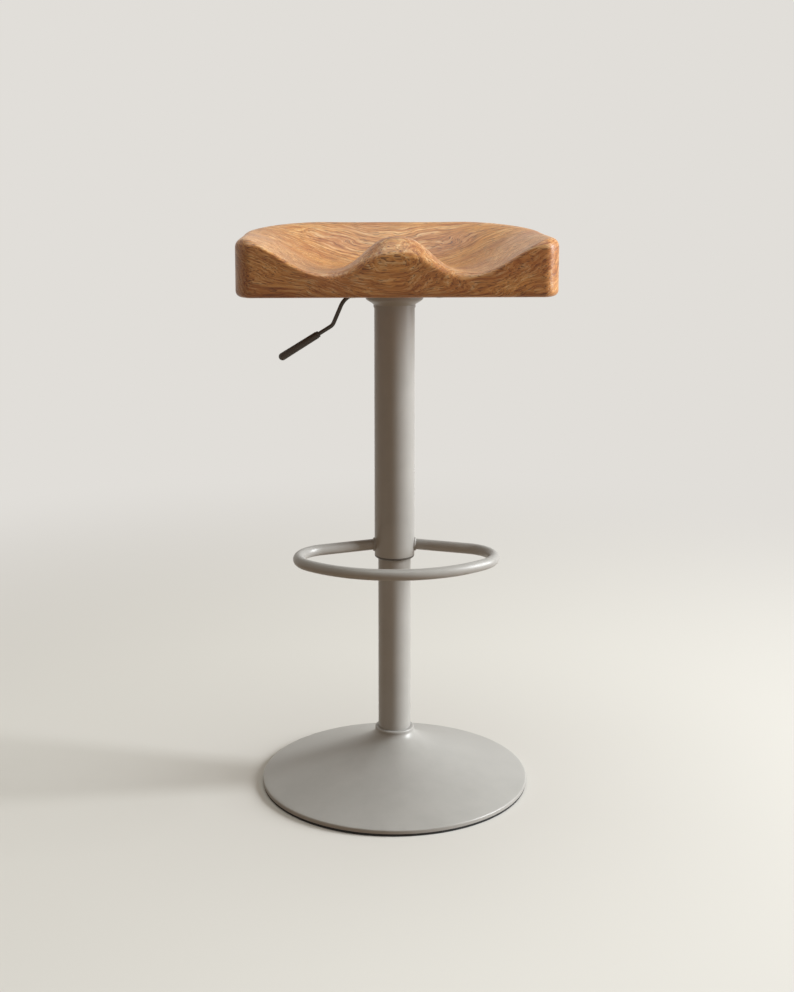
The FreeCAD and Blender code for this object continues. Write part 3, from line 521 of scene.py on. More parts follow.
def throw(profile, points=96, ring=True):
    """Turned piece: a circle is extruded and resized from point to point of its profile.
    A ring's profile closes on itself; any other starts filled and may end on the axis,
    where a tiny radius stands for none."""
    radius, height = profile[0]
    start_circle(points, radius, (0, 0, height), fill="NOTHING" if ring else "NGON")
    for next_radius, next_height in profile[1:] + ([profile[0]] if ring else []):
        extrude((0, 0, next_height - height))
        factor = next_radius / radius
        bpy.ops.transform.resize(value=(factor, factor, 1), center_override=(0, 0, next_height))
        radius, height = max(next_radius, 1e-9), next_height
    close_mesh()


def bent_bar(points, radius, start, heading, side, moves):
    """Round bar that starts with a circle and is extruded along straights and spun round bends.
    Each move is a length, or a bend as (centre, axis, angle, steps)."""
    start, heading = Vector(start), Vector(heading)
    turn = Matrix((side, heading.cross(side), heading)).transposed().to_euler()
    start_circle(points, radius, start, turn)
    for move in moves:
        if isinstance(move, tuple):
            centre, axis, angle, steps = move
            # The tool spins against the axis, so the angle is turned round
            bpy.ops.mesh.spin(steps=steps, angle=-angle, center=centre, axis=axis,
                              dupli=False, use_auto_merge=False)
            heading = Matrix.Rotation(angle, 3, axis) @ heading
        else:
            extrude(heading * move)
    close_mesh()


def bezier(poles, steps):
    """Points of a cubic curve in (radius, height)."""
    points = []
    for step in range(steps + 1):
        t = step / steps
        weights = ((1 - t) ** 3, 3 * (1 - t) ** 2 * t, 3 * (1 - t) * t ** 2, t ** 3)
        points.append(tuple(sum(w * p[k] for w, p in zip(weights, poles)) for k in (0, 1)))
    return points


# Seat

def ease(value):
    """Smooth step from 0 to 1."""
    value = max(0.0, min(1.0, value))
    return value * value * (3 - 2 * value)


def saddle_height(s, x, y):
    """Height of the carved top over one point of the plan."""
    across = abs(x) / s.half_width
    back = max(0.0, y) / s.back
    spread = (across ** s.squareness + back ** s.squareness) ** (1 / s.squareness)
    forward = ease(-y / s.front)
    flat_share = s.flat_share + (s.mouth_flat_share - s.flat_share) * forward
    rim_share = s.rim_share + (s.mouth_rim_share - s.rim_share) * forward
    wall = ease((spread - flat_share) / (rim_share - flat_share))
    rearward = ease((y - s.back_rise_start) / (s.back - s.back_rise_start))
    floor = s.dish + (s.scoop_mouth - s.dish) * forward
    back_rim = s.back_rim - s.back_crown * across ** 2
    rim = s.side_rim + (back_rim - s.side_rim) * rearward
    rim += (s.front_rim - s.side_rim) * forward
    height = floor + (rim - floor) * wall
    crest_y = s.pommel_setback - s.front
    crest, fade = s.pommel, 1.0
    if y < crest_y:
        crest -= (s.pommel - s.pommel_mouth) * ((crest_y - y) / s.pommel_setback) ** 2
    else:
        fade = math.exp(-((y - crest_y) / s.pommel_run) ** 2)
    ridge = math.exp(-(abs(x) / s.pommel_half_width) ** s.pommel_roundness)
    return s.underside + height + (crest - height) * ridge * fade


def seat_outline(s):
    """Points round the seat's plan, evenly spaced, each with its inward direction."""
    bow_radius = (s.half_width ** 2 + s.back_bow ** 2) / (2 * s.back_bow)
    bow_y = s.back - bow_radius
    corner_x = s.half_width - s.back_corner
    corner_y = bow_y + math.sqrt((bow_radius - s.back_corner) ** 2 - corner_x ** 2)
    meet = math.atan2(corner_y - bow_y, corner_x)
    ahead = s.turn_angle - math.pi / 2
    spread = s.front_corner - s.corner_turn
    side_x = s.half_width - s.front_corner
    side_y = s.corner_turn - s.front - spread * math.sin(ahead)
    arcs = [
        (side_x + spread * math.cos(ahead), s.corner_turn - s.front, s.corner_turn,
         -math.pi / 2, ahead),
        (side_x, side_y, s.front_corner, ahead, 0),
        (corner_x, corner_y, s.back_corner, 0, meet),
        (0, bow_y, bow_radius, meet, math.pi / 2),
    ]
    arc_steps = 60
    right = [Vector((0, -s.front))]
    for x, y, radius, begin, end in arcs:
        for step in range(arc_steps + 1):
            angle = begin + (end - begin) * step / arc_steps
            right.append(Vector((x + radius * math.cos(angle), y + radius * math.sin(angle))))
    line = right + [Vector((-p.x, p.y)) for p in reversed(right[1:-1])]
    line.append(line[0])
    lengths = [0.0]
    for a, b in zip(line, line[1:]):
        lengths.append(lengths[-1] + (b - a).length)
    points = []
    k = 0
    for i in range(s.points_round):
        want = lengths[-1] * i / s.points_round
        while lengths[k + 1] < want:
            k += 1
        span = lengths[k + 1] - lengths[k]
        points.append(line[k].lerp(line[k + 1], (want - lengths[k]) / span))
    # A long chord keeps the inward lines from crossing at the corners
    chord = 7
    places = []
    for i, point in enumerate(points):
        along = points[(i + chord) % len(points)] - points[i - chord]
        places.append((point, Vector((-along.y, along.x)).normalized()))
    return places


def edge_radius(s, point):
    """Rounding of the upper edge: crisp beside the thigh scoops and full elsewhere."""
    across = abs(point.x) / s.half_width
    forward = -point.y / s.front
    # It turns crisp between 0.38 and 0.54 of the half width and full again by 0.95,
    # and only on the foremost 0.18 of the front
    crisp = ease((across - 0.38) / 0.16) * ease((0.95 - across) / 0.12)
    crisp *= ease((forward - 0.82) / 0.18)
    return s.rim_rounding + (s.crisp_rounding - s.rim_rounding) * crisp


def rim_rows(s, places, steps=10):
    """Rows of the rounded rim: an arc from the wall to where it meets the carved top."""
    columns = []
    for point, inward in places:
        radius = edge_radius(s, point)
        reach = radius
        # The reach depends on the slope that it meets, so it is found in rounds
        for _ in range(20):
            ahead = point + inward * (reach + 0.5 * MM)
            behind = point + inward * (reach - 0.5 * MM)
            fall = (saddle_height(s, *behind) - saddle_height(s, *ahead)) / MM
            reach = radius * (1 + fall / math.hypot(1, fall))
        meet = point + inward * reach
        centre_z = saddle_height(s, *meet) - radius / math.hypot(1, fall)
        last = math.atan2(1, fall)
        column = []
        for step in range(steps + 1):
            angle = math.pi + (last - math.pi) * step / steps
            spot = point + inward * radius * (1 + math.cos(angle))
            column.append((spot.x, spot.y, centre_z + radius * math.sin(angle)))
        columns.append(column)
    return list(zip(*columns))


def seat_rows(s):
    """Rows of points from the flat underside, over the rim, to the middle of the dish."""
    places = seat_outline(s)
    rows = []
    lower_steps, wall_steps, rings = 5, 8, 58
    for step in range(lower_steps + 1):
        angle = math.pi / 2 * step / lower_steps
        rows.append([(*(p + n * s.lower_rounding * (1 - math.sin(angle))),
                      s.underside + s.lower_rounding * (1 - math.cos(angle))) for p, n in places])
    rim = rim_rows(s, places)
    for step in range(1, wall_steps):
        part = step / wall_steps
        rows.append([tuple(Vector(a).lerp(Vector(b), part))
                     for a, b in zip(rows[lower_steps], rim[0])])
    rows.extend(rim)
    middle = Vector((0, 10 * MM))
    for step in range(1, rings):
        row = []
        for x, y, _ in rim[-1]:
            spot = Vector((x, y)).lerp(middle, step / rings)
            row.append((spot.x, spot.y, saddle_height(s, *spot)))
        rows.append(row)
    rows.append([(middle.x, middle.y, saddle_height(s, *middle))] * len(places))
    return rows


class STOOL_OT_carve_seat(bpy.types.Operator):
    """Carves the saddle seat: its outline is pulled up, rounded over and run in to the dish"""
    bl_idname = "stool.carve_seat"
    bl_label = "Carve seat"

    def execute(self, context):
        s = context.scene.stool_seat
        rows = seat_rows(s)
        start_circle(s.points_round, s.front, (0, 0, s.underside))
        bpy.ops.object.mode_set(mode="OBJECT")
        bpy.ops.object.transform_apply(location=True, rotation=True, scale=True)
        bpy.ops.object.mode_set(mode="EDIT")
        mesh = context.object.data
        work = bmesh.from_edit_mesh(mesh)
        place = work.verts.layers.int.new("place")
        for number, vert in enumerate(work.verts):
            vert[place] = number
            vert.co = rows[0][number]
        bmesh.update_edit_mesh(mesh)
        for row in rows[1:]:
            extrude()
            work = bmesh.from_edit_mesh(mesh)
            place = work.verts.layers.int["place"]
            for vert in work.verts:
                if vert.select:
                    vert.co = row[vert[place]]
            bmesh.update_edit_mesh(mesh)
        bpy.ops.mesh.select_all(action="SELECT")
        bpy.ops.mesh.remove_doubles(threshold=1e-6)
        bpy.ops.mesh.select_all(action="DESELECT")
        bpy.ops.mesh.select_non_manifold(use_wire=False, use_multi_face=False,
                                         use_non_contiguous=False, use_verts=False)
        bpy.ops.mesh.edge_face_add()
        close_mesh()
        finish_piece("saddle_seat", "seat_column", "seat", "oak", 40)
        return {"FINISHED"}


# Base and fixed tube

def shell_side(s, inset):
    """The shell's profile from its foot to its neck, as far in as the inset says."""
    centre = (s.radius - s.edge_rounding, s.foot + s.edge_height)
    away = (math.sin(s.rim_slope), math.cos(s.rim_slope))
    depth = s.edge_rounding - inset
    rim = (centre[0] + away[0] * depth, centre[1] + away[1] * depth)
    pull = (rim[0] - s.rim_pull * away[1], rim[1] + s.rim_pull * away[0])
    neck = (s.neck_radius - inset, s.top)
    lean = (neck[0] + s.neck_pull * math.sin(s.neck_lean),
            neck[1] - s.neck_pull * math.cos(s.neck_lean))
    side = [(s.radius - inset, s.foot)]
    for step in range(6):
        angle = (math.pi / 2 - s.rim_slope) * step / 6
        side.append((centre[0] + depth * math.cos(angle), centre[1] + depth * math.sin(angle)))
    return side + bezier([rim, pull, lean, neck], 44)


class STOOL_OT_spin_base(bpy.types.Operator):
    """Spins the trumpet base, its rubber ring and the bead at its neck"""
    bl_idname = "stool.spin_base"
    bl_label = "Spin base"

    def execute(self, context):
        s = context.scene.stool_base
        throw(shell_side(s, 0.0) + shell_side(s, s.wall)[::-1], 224)
        finish_piece("trumpet_base", "base", "base_shell", "paint")

        outer, pad_top = high("floor_ring").x, high("floor_ring").z
        pad_width = 16 * MM
        inner = outer - pad_width
        lip = s.radius - s.wall - SLIP
        throw(rounded([
            (inner, 0.0, 0.6 * MM), (outer, 0.0, 0.8 * MM), (outer, s.foot, 0),
            (lip, s.foot, 0), (lip, pad_top, 0.5 * MM), (inner, pad_top, 0.5 * MM)]), 192)
        finish_piece("floor_pad", "base", "floor_ring", "rubber")

        bead_low, bead_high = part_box("neck_ring")
        inner = s.tube_radius + SLIP
        lip = s.neck_radius - s.wall - SLIP
        throw(rounded([
            (inner, bead_low.z, 0), (lip, bead_low.z, 0), (lip, s.top, 0),
            (bead_high.x, s.top, 0.5 * MM), (bead_high.x, bead_high.z, 1.9 * MM),
            (inner, bead_high.z, 0.4 * MM)]))
        finish_piece("neck_bead", "base", "neck_ring", "paint")
        return {"FINISHED"}


class STOOL_OT_build_column(bpy.types.Operator):
    """Builds the fixed tube, the sliding sleeve, its bush and the bell collar"""
    bl_idname = "stool.build_column"
    bl_label = "Build column"

    def execute(self, context):
        base = context.scene.stool_base
        s = context.scene.stool_column
        tube_low, tube_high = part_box("stand_tube")
        bore = base.tube_radius - base.tube_wall
        throw(rounded([
            (bore, tube_low.z, 0), (base.tube_radius, tube_low.z, 0),
            (base.tube_radius, tube_high.z, 0.5 * MM), (bore, tube_high.z, 0.4 * MM)]), 128)
        finish_piece("lower_tube", "base", "stand_tube", "paint")

        bore = s.radius - s.wall
        throw(rounded([
            (bore, s.bottom, 0.3 * MM), (s.radius, s.bottom, s.edge),
            (s.radius, s.top, 0), (bore, s.top, 0)]), 128)
        finish_piece("column_sleeve", "seat_column", "outer_sleeve", "paint")

        slide_gap = 0.06 * MM
        inner = base.tube_radius + slide_gap
        flange = s.radius - SLIP
        foot = s.bottom - s.bush_flange
        top = high("sleeve_bush").z
        throw(rounded([
            (inner, foot, 0.4 * MM), (flange, foot, 2.4 * MM), (flange, s.bottom, 0),
            (bore - SLIP, s.bottom, 0), (bore - SLIP, top, 0.5 * MM), (inner, top, 0)]))
        finish_piece("slide_bush", "seat_column", "sleeve_bush", "grey_acetal")

        plate = low("seat_plate").z
        skirt_wall, below_top, rim_height = 1.0 * MM, 3 * MM, 10.5 * MM
        inner = s.radius + SLIP
        outer = inner + skirt_wall
        flare_low = s.top - below_top
        flare_top = plate - rim_height
        bend = 0.45 * (flare_top - flare_low)
        outside = bezier([
            (outer, flare_low), (outer + bend, flare_low + bend),
            (s.collar_radius, flare_top - bend), (s.collar_radius, flare_top)], 14)
        face = s.collar_radius - s.collar_wall
        inside_low = flare_low + s.collar_wall
        inside = bezier([
            (face, flare_top), (face, flare_top - 0.5 * bend),
            (inner + bend, inside_low + bend), (inner, inside_low)], 14)
        throw([(inner, s.top - s.collar_skirt), (outer, s.top - s.collar_skirt)] + outside
              + [(s.collar_radius, plate), (face, plate)] + inside)
        finish_piece("bell_collar", "seat_column", "sleeve_collar", "paint")
        return {"FINISHED"}


# Foot ring

def ring_route(s, sleeve_radius):
    """Points and angles of the ring's centreline: arm start, bends and front arc."""
    sunk = 4 * MM
    along = Vector((math.cos(s.sweep), -math.sin(s.sweep), 0))
    start = Vector((sleeve_radius, 0, 0)) - along * sunk
    bend_x = s.half_width - s.corner
    bend_y = (-s.corner - (bend_x - sleeve_radius) * math.sin(s.sweep)) / math.cos(s.sweep)
    depth = bend_y + s.reach
    front_radius = (bend_x ** 2 + depth ** 2 - s.corner ** 2) / (2 * (depth - s.corner))
    front_y = front_radius - s.reach
    arm_end = Vector((bend_x, bend_y, 0)) + Vector((-along.y, along.x, 0)) * s.corner
    split = math.atan2(bend_y - front_y, bend_x)
    return along, start, arm_end, Vector((bend_x, bend_y, 0)), Vector((0, front_y, 0)), split


class STOOL_OT_bend_foot_ring(bpy.types.Operator):
    """Bends the foot ring from a tube, copes its ends to the sleeve and welds them"""
    bl_idname = "stool.bend_foot_ring"
    bl_label = "Bend foot ring"

    def execute(self, context):
        s = context.scene.stool_ring
        sleeve = context.scene.stool_column.radius
        ring_low, ring_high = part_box("foot_ring")
        level = Vector((0, 0, (ring_low.z + ring_high.z) / 2))
        along, start, arm_end, bend, front, split = ring_route(s, sleeve)
        arm = (arm_end - start).length
        first = math.pi / 2 - s.sweep - split
        wide = math.pi + 2 * split
        mirrored = Vector((-bend.x, bend.y, 0))
        bent_bar(40, s.tube_radius, start + level, along, Vector((-along.y, along.x, 0)), [
            arm, (bend + level, UP, -first, 26), (front + level, UP, -wide, 54),
            (mirrored + level, UP, -first, 26), arm])
        tube = context.object
        flat = Vector((along.x, along.y))
        # The ends are moved along the arms to just inside the sleeve's round face
        cope_radius, end_length, end_reach = sleeve - 0.3 * MM, 6 * MM, 4 * MM
        for vert in tube.data.vertices:
            mirror = -1 if vert.co.x < 0 else 1
            spot = Vector((vert.co.x * mirror, vert.co.y))
            if spot.length < sleeve + end_length and spot.x < sleeve + end_reach:
                behind = spot.dot(flat)
                gap = spot.length_squared - cope_radius ** 2
                step = -behind + math.sqrt(behind ** 2 - gap)
                vert.co.x += mirror * flat.x * step
                vert.co.y += flat.y * step
        wall = tube.modifiers.new("wall", "SOLIDIFY")
        wall.thickness = s.tube_wall
        wall.offset = -1
        bpy.ops.object.modifier_apply(modifier=wall.name)
        finish_piece("foot_ring_tube", "seat_column", "foot_ring", "paint", 50)

        for mirror, name in ((1, "ring_weld_right"), (-1, "ring_weld_left")):
            self.weld(s, name, mirror, sleeve, level, start, along)
        return {"FINISHED"}

    def weld(self, s, name, mirror, sleeve, level, start, along):
        """A weld bead, laid in ripples where an arm meets the sleeve."""
        bpy.ops.object.select_all(action="DESELECT")
        bpy.ops.mesh.primitive_torus_add(major_segments=216, minor_segments=14,
                                         major_radius=s.tube_radius, minor_radius=s.bead)
        side = Vector((-along.y, along.x, 0))
        ripples, ripple_depth = 19, 0.16
        waves, wave_depth = 3, 0.05
        lift = 0.3 * s.bead
        for vert in bpy.context.object.data.vertices:
            round_angle = math.atan2(vert.co.y, vert.co.x)
            outward = math.hypot(vert.co.x, vert.co.y) - s.tube_radius
            ripple = 1 + ripple_depth * abs(math.sin(ripples * round_angle))
            ripple += wave_depth * math.sin(waves * round_angle)
            ray = side * math.cos(round_angle) + UP * math.sin(round_angle)
            edge = start + ray * s.tube_radius
            flat = Vector((edge.x, edge.y, 0))
            behind = flat.dot(along)
            step = -behind + math.sqrt(behind ** 2 - flat.length_squared + sleeve ** 2)
            seam = edge + along * step
            vert.co = seam + (ray * outward + along * (vert.co.z + lift)) * ripple + level
            vert.co.x *= mirror
        bpy.ops.object.mode_set(mode="EDIT")
        close_mesh()
        finish_piece(name, "seat_column", None, "paint", 80)


# Release lever

class STOOL_OT_bend_lever(bpy.types.Operator):
    """Bends the release lever's rod and adds its ferrule, grip and grommet"""
    bl_idname = "stool.bend_lever"
    bl_label = "Bend lever"

    def execute(self, context):
        s = context.scene.stool_lever
        inner = Vector((s.inner_end, 0, s.height))
        knee = Vector((-s.knee_reach, 0, s.height))
        drop = (s.elbow_reach - s.knee_reach) * math.tan(s.knee_fall)
        elbow = Vector((-s.elbow_reach, 0, s.height - drop))
        knee_tangent = s.knee_radius * math.tan(s.knee_fall / 2)
        turn_back = s.knee_fall - s.grip_fall
        elbow_tangent = s.elbow_radius * math.tan(turn_back / 2)
        down = Vector((-math.cos(s.knee_fall), 0, -math.sin(s.knee_fall)))
        out = Vector((-math.cos(s.grip_fall), 0, -math.sin(s.grip_fall)))
        across = Vector((0, 1, 0))
        knee_centre = knee + Vector((knee_tangent, 0, -s.knee_radius))
        elbow_start = elbow - down * elbow_tangent
        elbow_centre = elbow_start + Vector((down.z, 0, -down.x)) * s.elbow_radius
        bent_bar(28, s.rod_radius, inner, Vector((-1, 0, 0)), across, [
            (knee - inner).length - knee_tangent,
            (knee_centre, across, -s.knee_fall, 14),
            (elbow - knee).length - knee_tangent - elbow_tangent,
            (elbow_centre, across, turn_back, 10),
            s.straight + s.overlap - elbow_tangent])
        bpy.ops.object.mode_set(mode="EDIT")
        bpy.ops.mesh.select_all(action="DESELECT")
        bpy.ops.mesh.select_non_manifold()
        bpy.ops.mesh.fill_holes(sides=0)
        close_mesh()
        finish_piece("release_rod", "lever", "lever_rod", "lever_paint", 50)

        bore_gap = 0.06 * MM
        bore = s.rod_radius + bore_gap
        begin = s.straight - s.ferrule_length
        throw(rounded([
            (bore, begin, 0), (s.ferrule_radius, begin, 0.8 * MM),
            (s.ferrule_radius, s.straight, 0.2 * MM), (bore, s.straight, 0)]), 48)
        self.lay_along(elbow, out)
        finish_piece("release_ferrule", "lever", "lever_ferrule", "lever_paint")

        end = s.straight + s.grip_length
        round_start = end - s.grip_radius
        profile = [(bore, s.straight + s.overlap + 0.3 * MM)]
        profile.append((bore, s.straight))
        for outset, along in ((-0.7, 0), (-0.2, 0.2), (0, 0.8), (0.1, 20)):
            profile.append((s.grip_root + outset * MM, s.straight + along * MM))
        tip_steps = 8
        for step in range(tip_steps):
            angle = math.pi / 2 * step / tip_steps
            profile.append((s.grip_radius * math.cos(angle),
                            round_start + s.grip_radius * math.sin(angle)))
        throw(profile + [(0.0, end)], 48, ring=False)
        self.lay_along(elbow, out)
        finish_piece("release_grip", "lever", "lever_grip", "grip", 60)

        bush_low, bush_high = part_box("lever_bush")
        half = (bush_high.x - bush_low.x) / 2
        rim = (bush_high.z - bush_low.z) / 2
        neck = rim - 0.7 * MM
        mouth = bore + 0.5 * MM
        groove = 1.05 * MM
        throw(rounded([
            (bore, 0, 0), (mouth, half, 0.3 * MM), (rim, half, 0.6 * MM), (rim, groove, 0),
            (neck, groove, 0), (neck, -groove, 0), (rim, -groove, 0), (rim, -half, 0.6 * MM),
            (mouth, -half, 0.3 * MM)]), 48)
        self.lay_along(Vector(((bush_low.x + bush_high.x) / 2, 0, s.height)), Vector((-1, 0, 0)))
        finish_piece("lever_grommet", "seat_column", "lever_bush", "black_acetal")
        return {"FINISHED"}

    def lay_along(self, place, heading):
        """Lays a piece that was made upright along a heading in the lever's plane."""
        turn = Matrix.Rotation(math.atan2(heading.x, heading.z), 4, "Y")
        bpy.context.object.matrix_world = Matrix.Translation(place) @ turn


# Fixings

def hexagon_head(width, head, shank_radius, shank, points=72):
    """Hexagon-headed screw, head down: the head's round face, its chamfer, flats and shank."""
    flat = width / 2
    face = 0.95 * flat
    start_circle(points, flat, (0, 0, 0), fill="NGON")
    mesh = bpy.context.object.data

    def hexagon(angle):
        return flat / math.cos((angle + math.pi / 6) % (math.pi / 3) - math.pi / 6)

    def chamfer(angle):
        return (hexagon(angle) - face) * math.tan(math.radians(30))

    rows = [
        (lambda angle: face, lambda angle: 0.0), (hexagon, chamfer),
        (hexagon, lambda angle: head), (lambda angle: shank_radius, lambda angle: head)]
    for step, (radius_at, height_at) in enumerate(rows):
        if step:
            extrude()
        work = bmesh.from_edit_mesh(mesh)
        for vert in work.verts:
            if vert.select:
                angle = math.atan2(vert.co.y, vert.co.x)
                radius = radius_at(angle)
                vert.co = (radius * math.cos(angle), radius * math.sin(angle), height_at(angle))
        bmesh.update_edit_mesh(mesh)
    extrude((0, 0, shank))
    bpy.ops.mesh.edge_face_add()
    close_mesh()


class STOOL_OT_fit_fixings(bpy.types.Operator):
    """Models one seat screw and one washer, copies them to the four holes, and the base bolt"""
    bl_idname = "stool.fit_fixings"
    bl_label = "Fit fixings"

    def execute(self, context):
        screw_low, screw_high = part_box("seat_screws")
        head_corner = 5.77 * MM
        reach = screw_high.x - head_corner
        plate = low("seat_plate").z
        places = [(x * reach, y * reach) for x in (-1, 1) for y in (-1, 1)]
        hexagon_head(10 * MM, 4 * MM, 3 * MM, 16 * MM)
        self.copy_to(places, screw_low.z, "seat_screw_set", "seat_screws", "zinc_plated_steel")

        hole, edge, thick = 3.3 * MM, 7 * MM, 1.2 * MM
        throw(rounded([
            (hole, 0, 0.2 * MM), (edge, 0, 0.3 * MM), (edge, thick, 0.2 * MM),
            (hole, thick, 0)], 3), 48)
        self.copy_to(places, plate - thick, "seat_washer_set", "seat_washers", "zinc_plated_steel")

        bolt_low, bolt_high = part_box("base_bolt")
        head = 7.5 * MM
        hexagon_head(19 * MM, head, 6 * MM, bolt_high.z - bolt_low.z - head)
        context.object.location.z = bolt_low.z
        finish_piece("base_centre_bolt", "base", "base_bolt", "zinc")
        return {"FINISHED"}

    def copy_to(self, places, level, name, node, slot):
        """Copies the piece to each place, each copy with its own mesh, and joins them."""
        first = bpy.context.object
        first.location = (*places[0], level)
        pieces = [first]
        for x, y in places[1:]:
            bpy.ops.object.select_all(action="DESELECT")
            first.select_set(True)
            bpy.context.view_layer.objects.active = first
            bpy.ops.object.duplicate(linked=False)
            bpy.context.object.location = (x, y, level)
            pieces.append(bpy.context.object)
        for piece in pieces:
            piece.select_set(True)
        bpy.context.view_layer.objects.active = first
        bpy.ops.object.join()
        finish_piece(name, "seat_column", node, "zinc", 30)


# Finishes of the pieces that keep their own mesh

CAD_FINISHES = {
    "cast_iron": ["ballast_plate"],
    "zinc": ["base_washer", "rod_clip"],
    "steel": ["tube_foot", "anchor_plate", "piston", "valve_body", "taper_socket"],
    "chrome": ["lower_race", "thrust_balls", "upper_race", "piston_rod", "release_pin"],
    "cylinder": ["pressure_tube"],
    "brass": ["seat_inserts"],
    "paint": ["seat_plate"],
    "black_acetal": ["guide_bush", "rod_guide"],
    "white_acetal": ["ball_cage", "piston_ring"],
    "rubber": ["bump_stop", "rod_seal"],
}


class STOOL_OT_finish_inner_parts(bpy.types.Operator):
    """Gives the gas lift, the bearing and the other inner parts their finishes"""
    bl_idname = "stool.finish_inner_parts"
    bl_label = "Finish inner parts"

    def execute(self, context):
        for finish, nodes in CAD_FINISHES.items():
            for node in nodes:
                wear(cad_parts[node].data, finish)
        return {"FINISHED"}


# Studio

def area_light(name, place, aim, width, height, power, tint=(1, 1, 1)):
    """A soft lamp that faces a point."""
    lamp = bpy.data.lights.new(name, "AREA")
    lamp.shape = "RECTANGLE"
    lamp.size = width
    lamp.size_y = height
    lamp.energy = power
    lamp.color = tint
    holder = bpy.data.objects.new(name, lamp)
    bpy.context.scene.collection.objects.link(holder)
    holder.location = place
    holder.rotation_euler = (Vector(aim) - Vector(place)).to_track_quat("-Z", "Y").to_euler()


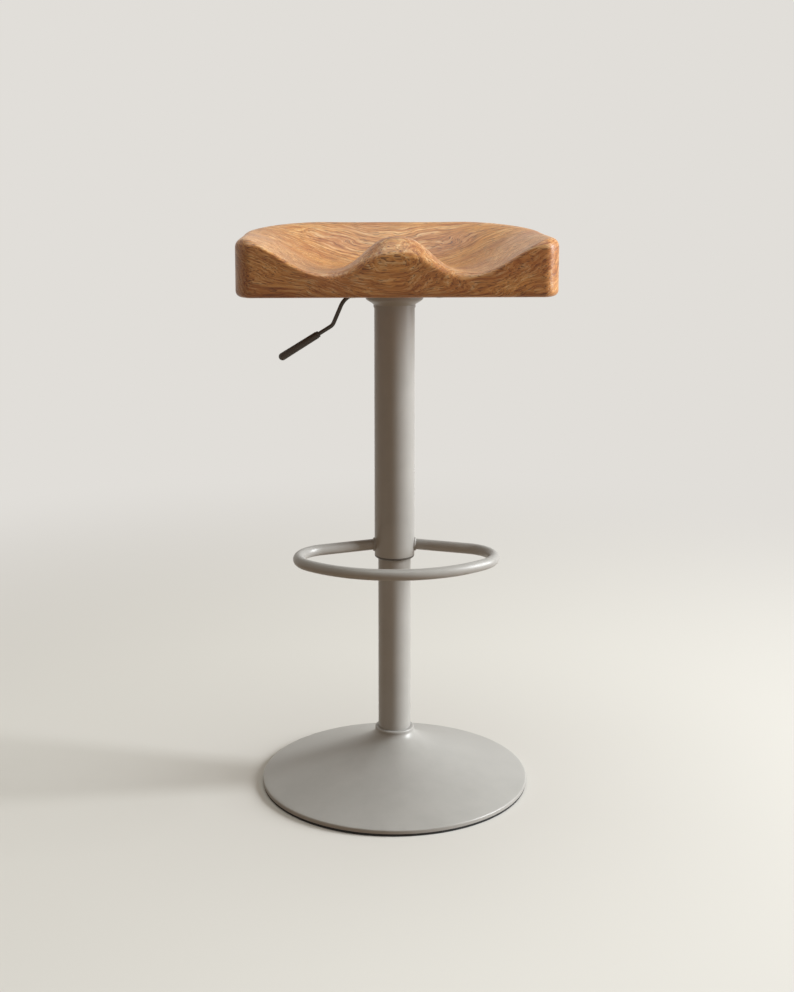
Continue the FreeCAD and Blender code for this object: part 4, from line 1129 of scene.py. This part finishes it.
class STOOL_OT_set_stage(bpy.types.Operator):
    """Lays the pale floor, lights the studio and sets the camera"""
    bl_idname = "stool.set_stage"
    bl_label = "Set stage"

    def execute(self, context):
        colours = context.scene.stool_colours
        self.lay_floor(colours)
        self.light_world(colours)
        area_light("side_light", (5.0, -0.45, 2.4), (0, 0, 0.45), 2.0, 3.4, 480,
                   (0.94, 0.98, 1.0))
        area_light("top_light", (0, 0, 3.6), (0, 0, 0.5), 2.6, 2.6, 56, (0.92, 1.0, 0.97))
        self.set_camera(context)
        context.scene.view_settings.view_transform = "Standard"
        return {"FINISHED"}

    def lay_floor(self, colours):
        """A wide round floor that fades into the backdrop well away from the stool."""
        start_circle(96, 9.0, (0, 0, 0), fill="NGON")
        bpy.ops.object.mode_set(mode="OBJECT")
        floor = bpy.context.object
        floor.name = "studio_floor"
        material, add, shader, _ = new_finish("studio_floor", colours.floor, 0.9, specular=0.1)
        seen = seen_rays(add)
        # The floor looks pale, and throws back little, warm light
        body = add("ShaderNodeMix", {0: seen, 6: linear("#947b62"), 7: (*colours.floor, 1)},
                   data_type="RGBA")
        material.node_tree.links.new(body.outputs[2], shader.inputs["Base Color"])
        place = add("ShaderNodeTexCoord", {})
        far = add("ShaderNodeVectorMath", {0: place.outputs["Object"]}, operation="LENGTH")
        fade = add("ShaderNodeMapRange", {
            "Value": far.outputs["Value"], "From Min": 0.55, "From Max": 2.2},
            interpolation_type="SMOOTHSTEP")
        glow = add("ShaderNodeEmission", {"Color": (*colours.backdrop, 1), "Strength": 1.0})
        show = add("ShaderNodeMath", {0: fade, 1: seen}, operation="MULTIPLY")
        mix = add("ShaderNodeMixShader", {0: show, 1: shader, 2: glow})
        output = next(n for n in material.node_tree.nodes if n.type == "OUTPUT_MATERIAL")
        material.node_tree.links.new(mix.outputs[0], output.inputs["Surface"])
        floor.data.materials.append(material)

    def light_world(self, colours):
        """Even light from all round; the eye and the reflections see the pale backdrop."""
        world = bpy.data.worlds.new("studio")
        bpy.context.scene.world = world
        world.use_nodes = True
        world.node_tree.nodes.clear()
        add = partial(add_node, world.node_tree)
        around = add("ShaderNodeBackground", {
            "Color": (1.0, 0.72, 0.50, 1), "Strength": 0.185})
        seen = add("ShaderNodeBackground", {"Color": (*colours.backdrop, 1), "Strength": 1.0})
        mix = add("ShaderNodeMixShader", {0: seen_rays(add), 1: around, 2: seen})
        add("ShaderNodeOutputWorld", {"Surface": mix})

    def set_camera(self, context):
        """The photograph's view: a long lens from the front, held just over the seat's height."""
        away, tilt = math.radians(2.0), math.radians(7.973)
        distance, eye_height = 2.2, 0.96
        data = bpy.data.cameras.new("camera")
        data.sensor_width = 36
        data.lens = 54.9
        data.shift_x = 0.0025
        data.shift_y = -0.142
        camera = bpy.data.objects.new("camera", data)
        context.scene.collection.objects.link(camera)
        camera.location = (-distance * math.sin(away), -distance * math.cos(away), eye_height)
        camera.rotation_euler = (math.pi / 2 - tilt, 0, -away)
        context.scene.camera = camera


class STOOL_PT_panel(bpy.types.Panel):
    """Lists the steps that build the stool"""
    bl_idname = "STOOL_PT_panel"
    bl_label = "Tractor seat stool"
    bl_space_type = "VIEW_3D"
    bl_region_type = "UI"
    bl_category = "Stool"

    def draw(self, context):
        for step in STEPS:
            self.layout.operator(step.bl_idname)
        for name in GROUPS:
            box = self.layout.box()
            group = getattr(context.scene, name)
            for key in group.__annotations__:
                box.prop(group, key)


STEPS = [
    STOOL_OT_carve_seat,
    STOOL_OT_spin_base,
    STOOL_OT_build_column,
    STOOL_OT_bend_foot_ring,
    STOOL_OT_bend_lever,
    STOOL_OT_fit_fixings,
    STOOL_OT_finish_inner_parts,
    STOOL_OT_set_stage,
]
GROUPS = {
    "stool_seat": SeatSizes,
    "stool_base": BaseSizes,
    "stool_column": ColumnSizes,
    "stool_ring": FootRingSizes,
    "stool_lever": LeverSizes,
    "stool_colours": StoolColours,
}


def register():
    for group in GROUPS.values():
        bpy.utils.register_class(group)
    for name, group in GROUPS.items():
        setattr(bpy.types.Scene, name, PointerProperty(type=group))
    for step in STEPS:
        bpy.utils.register_class(step)
    bpy.utils.register_class(STOOL_PT_panel)


def unregister():
    bpy.utils.unregister_class(STOOL_PT_panel)
    for step in reversed(STEPS):
        bpy.utils.unregister_class(step)
    for name in GROUPS:
        delattr(bpy.types.Scene, name)
    for group in GROUPS.values():
        bpy.utils.unregister_class(group)


def main():
    """Builds the stool in order."""
    register()
    bpy.ops.stool.carve_seat()
    bpy.ops.stool.spin_base()
    bpy.ops.stool.build_column()
    bpy.ops.stool.bend_foot_ring()
    bpy.ops.stool.bend_lever()
    bpy.ops.stool.fit_fixings()
    bpy.ops.stool.finish_inner_parts()
    bpy.ops.stool.set_stage()


if __name__ == "__main__":
    main()
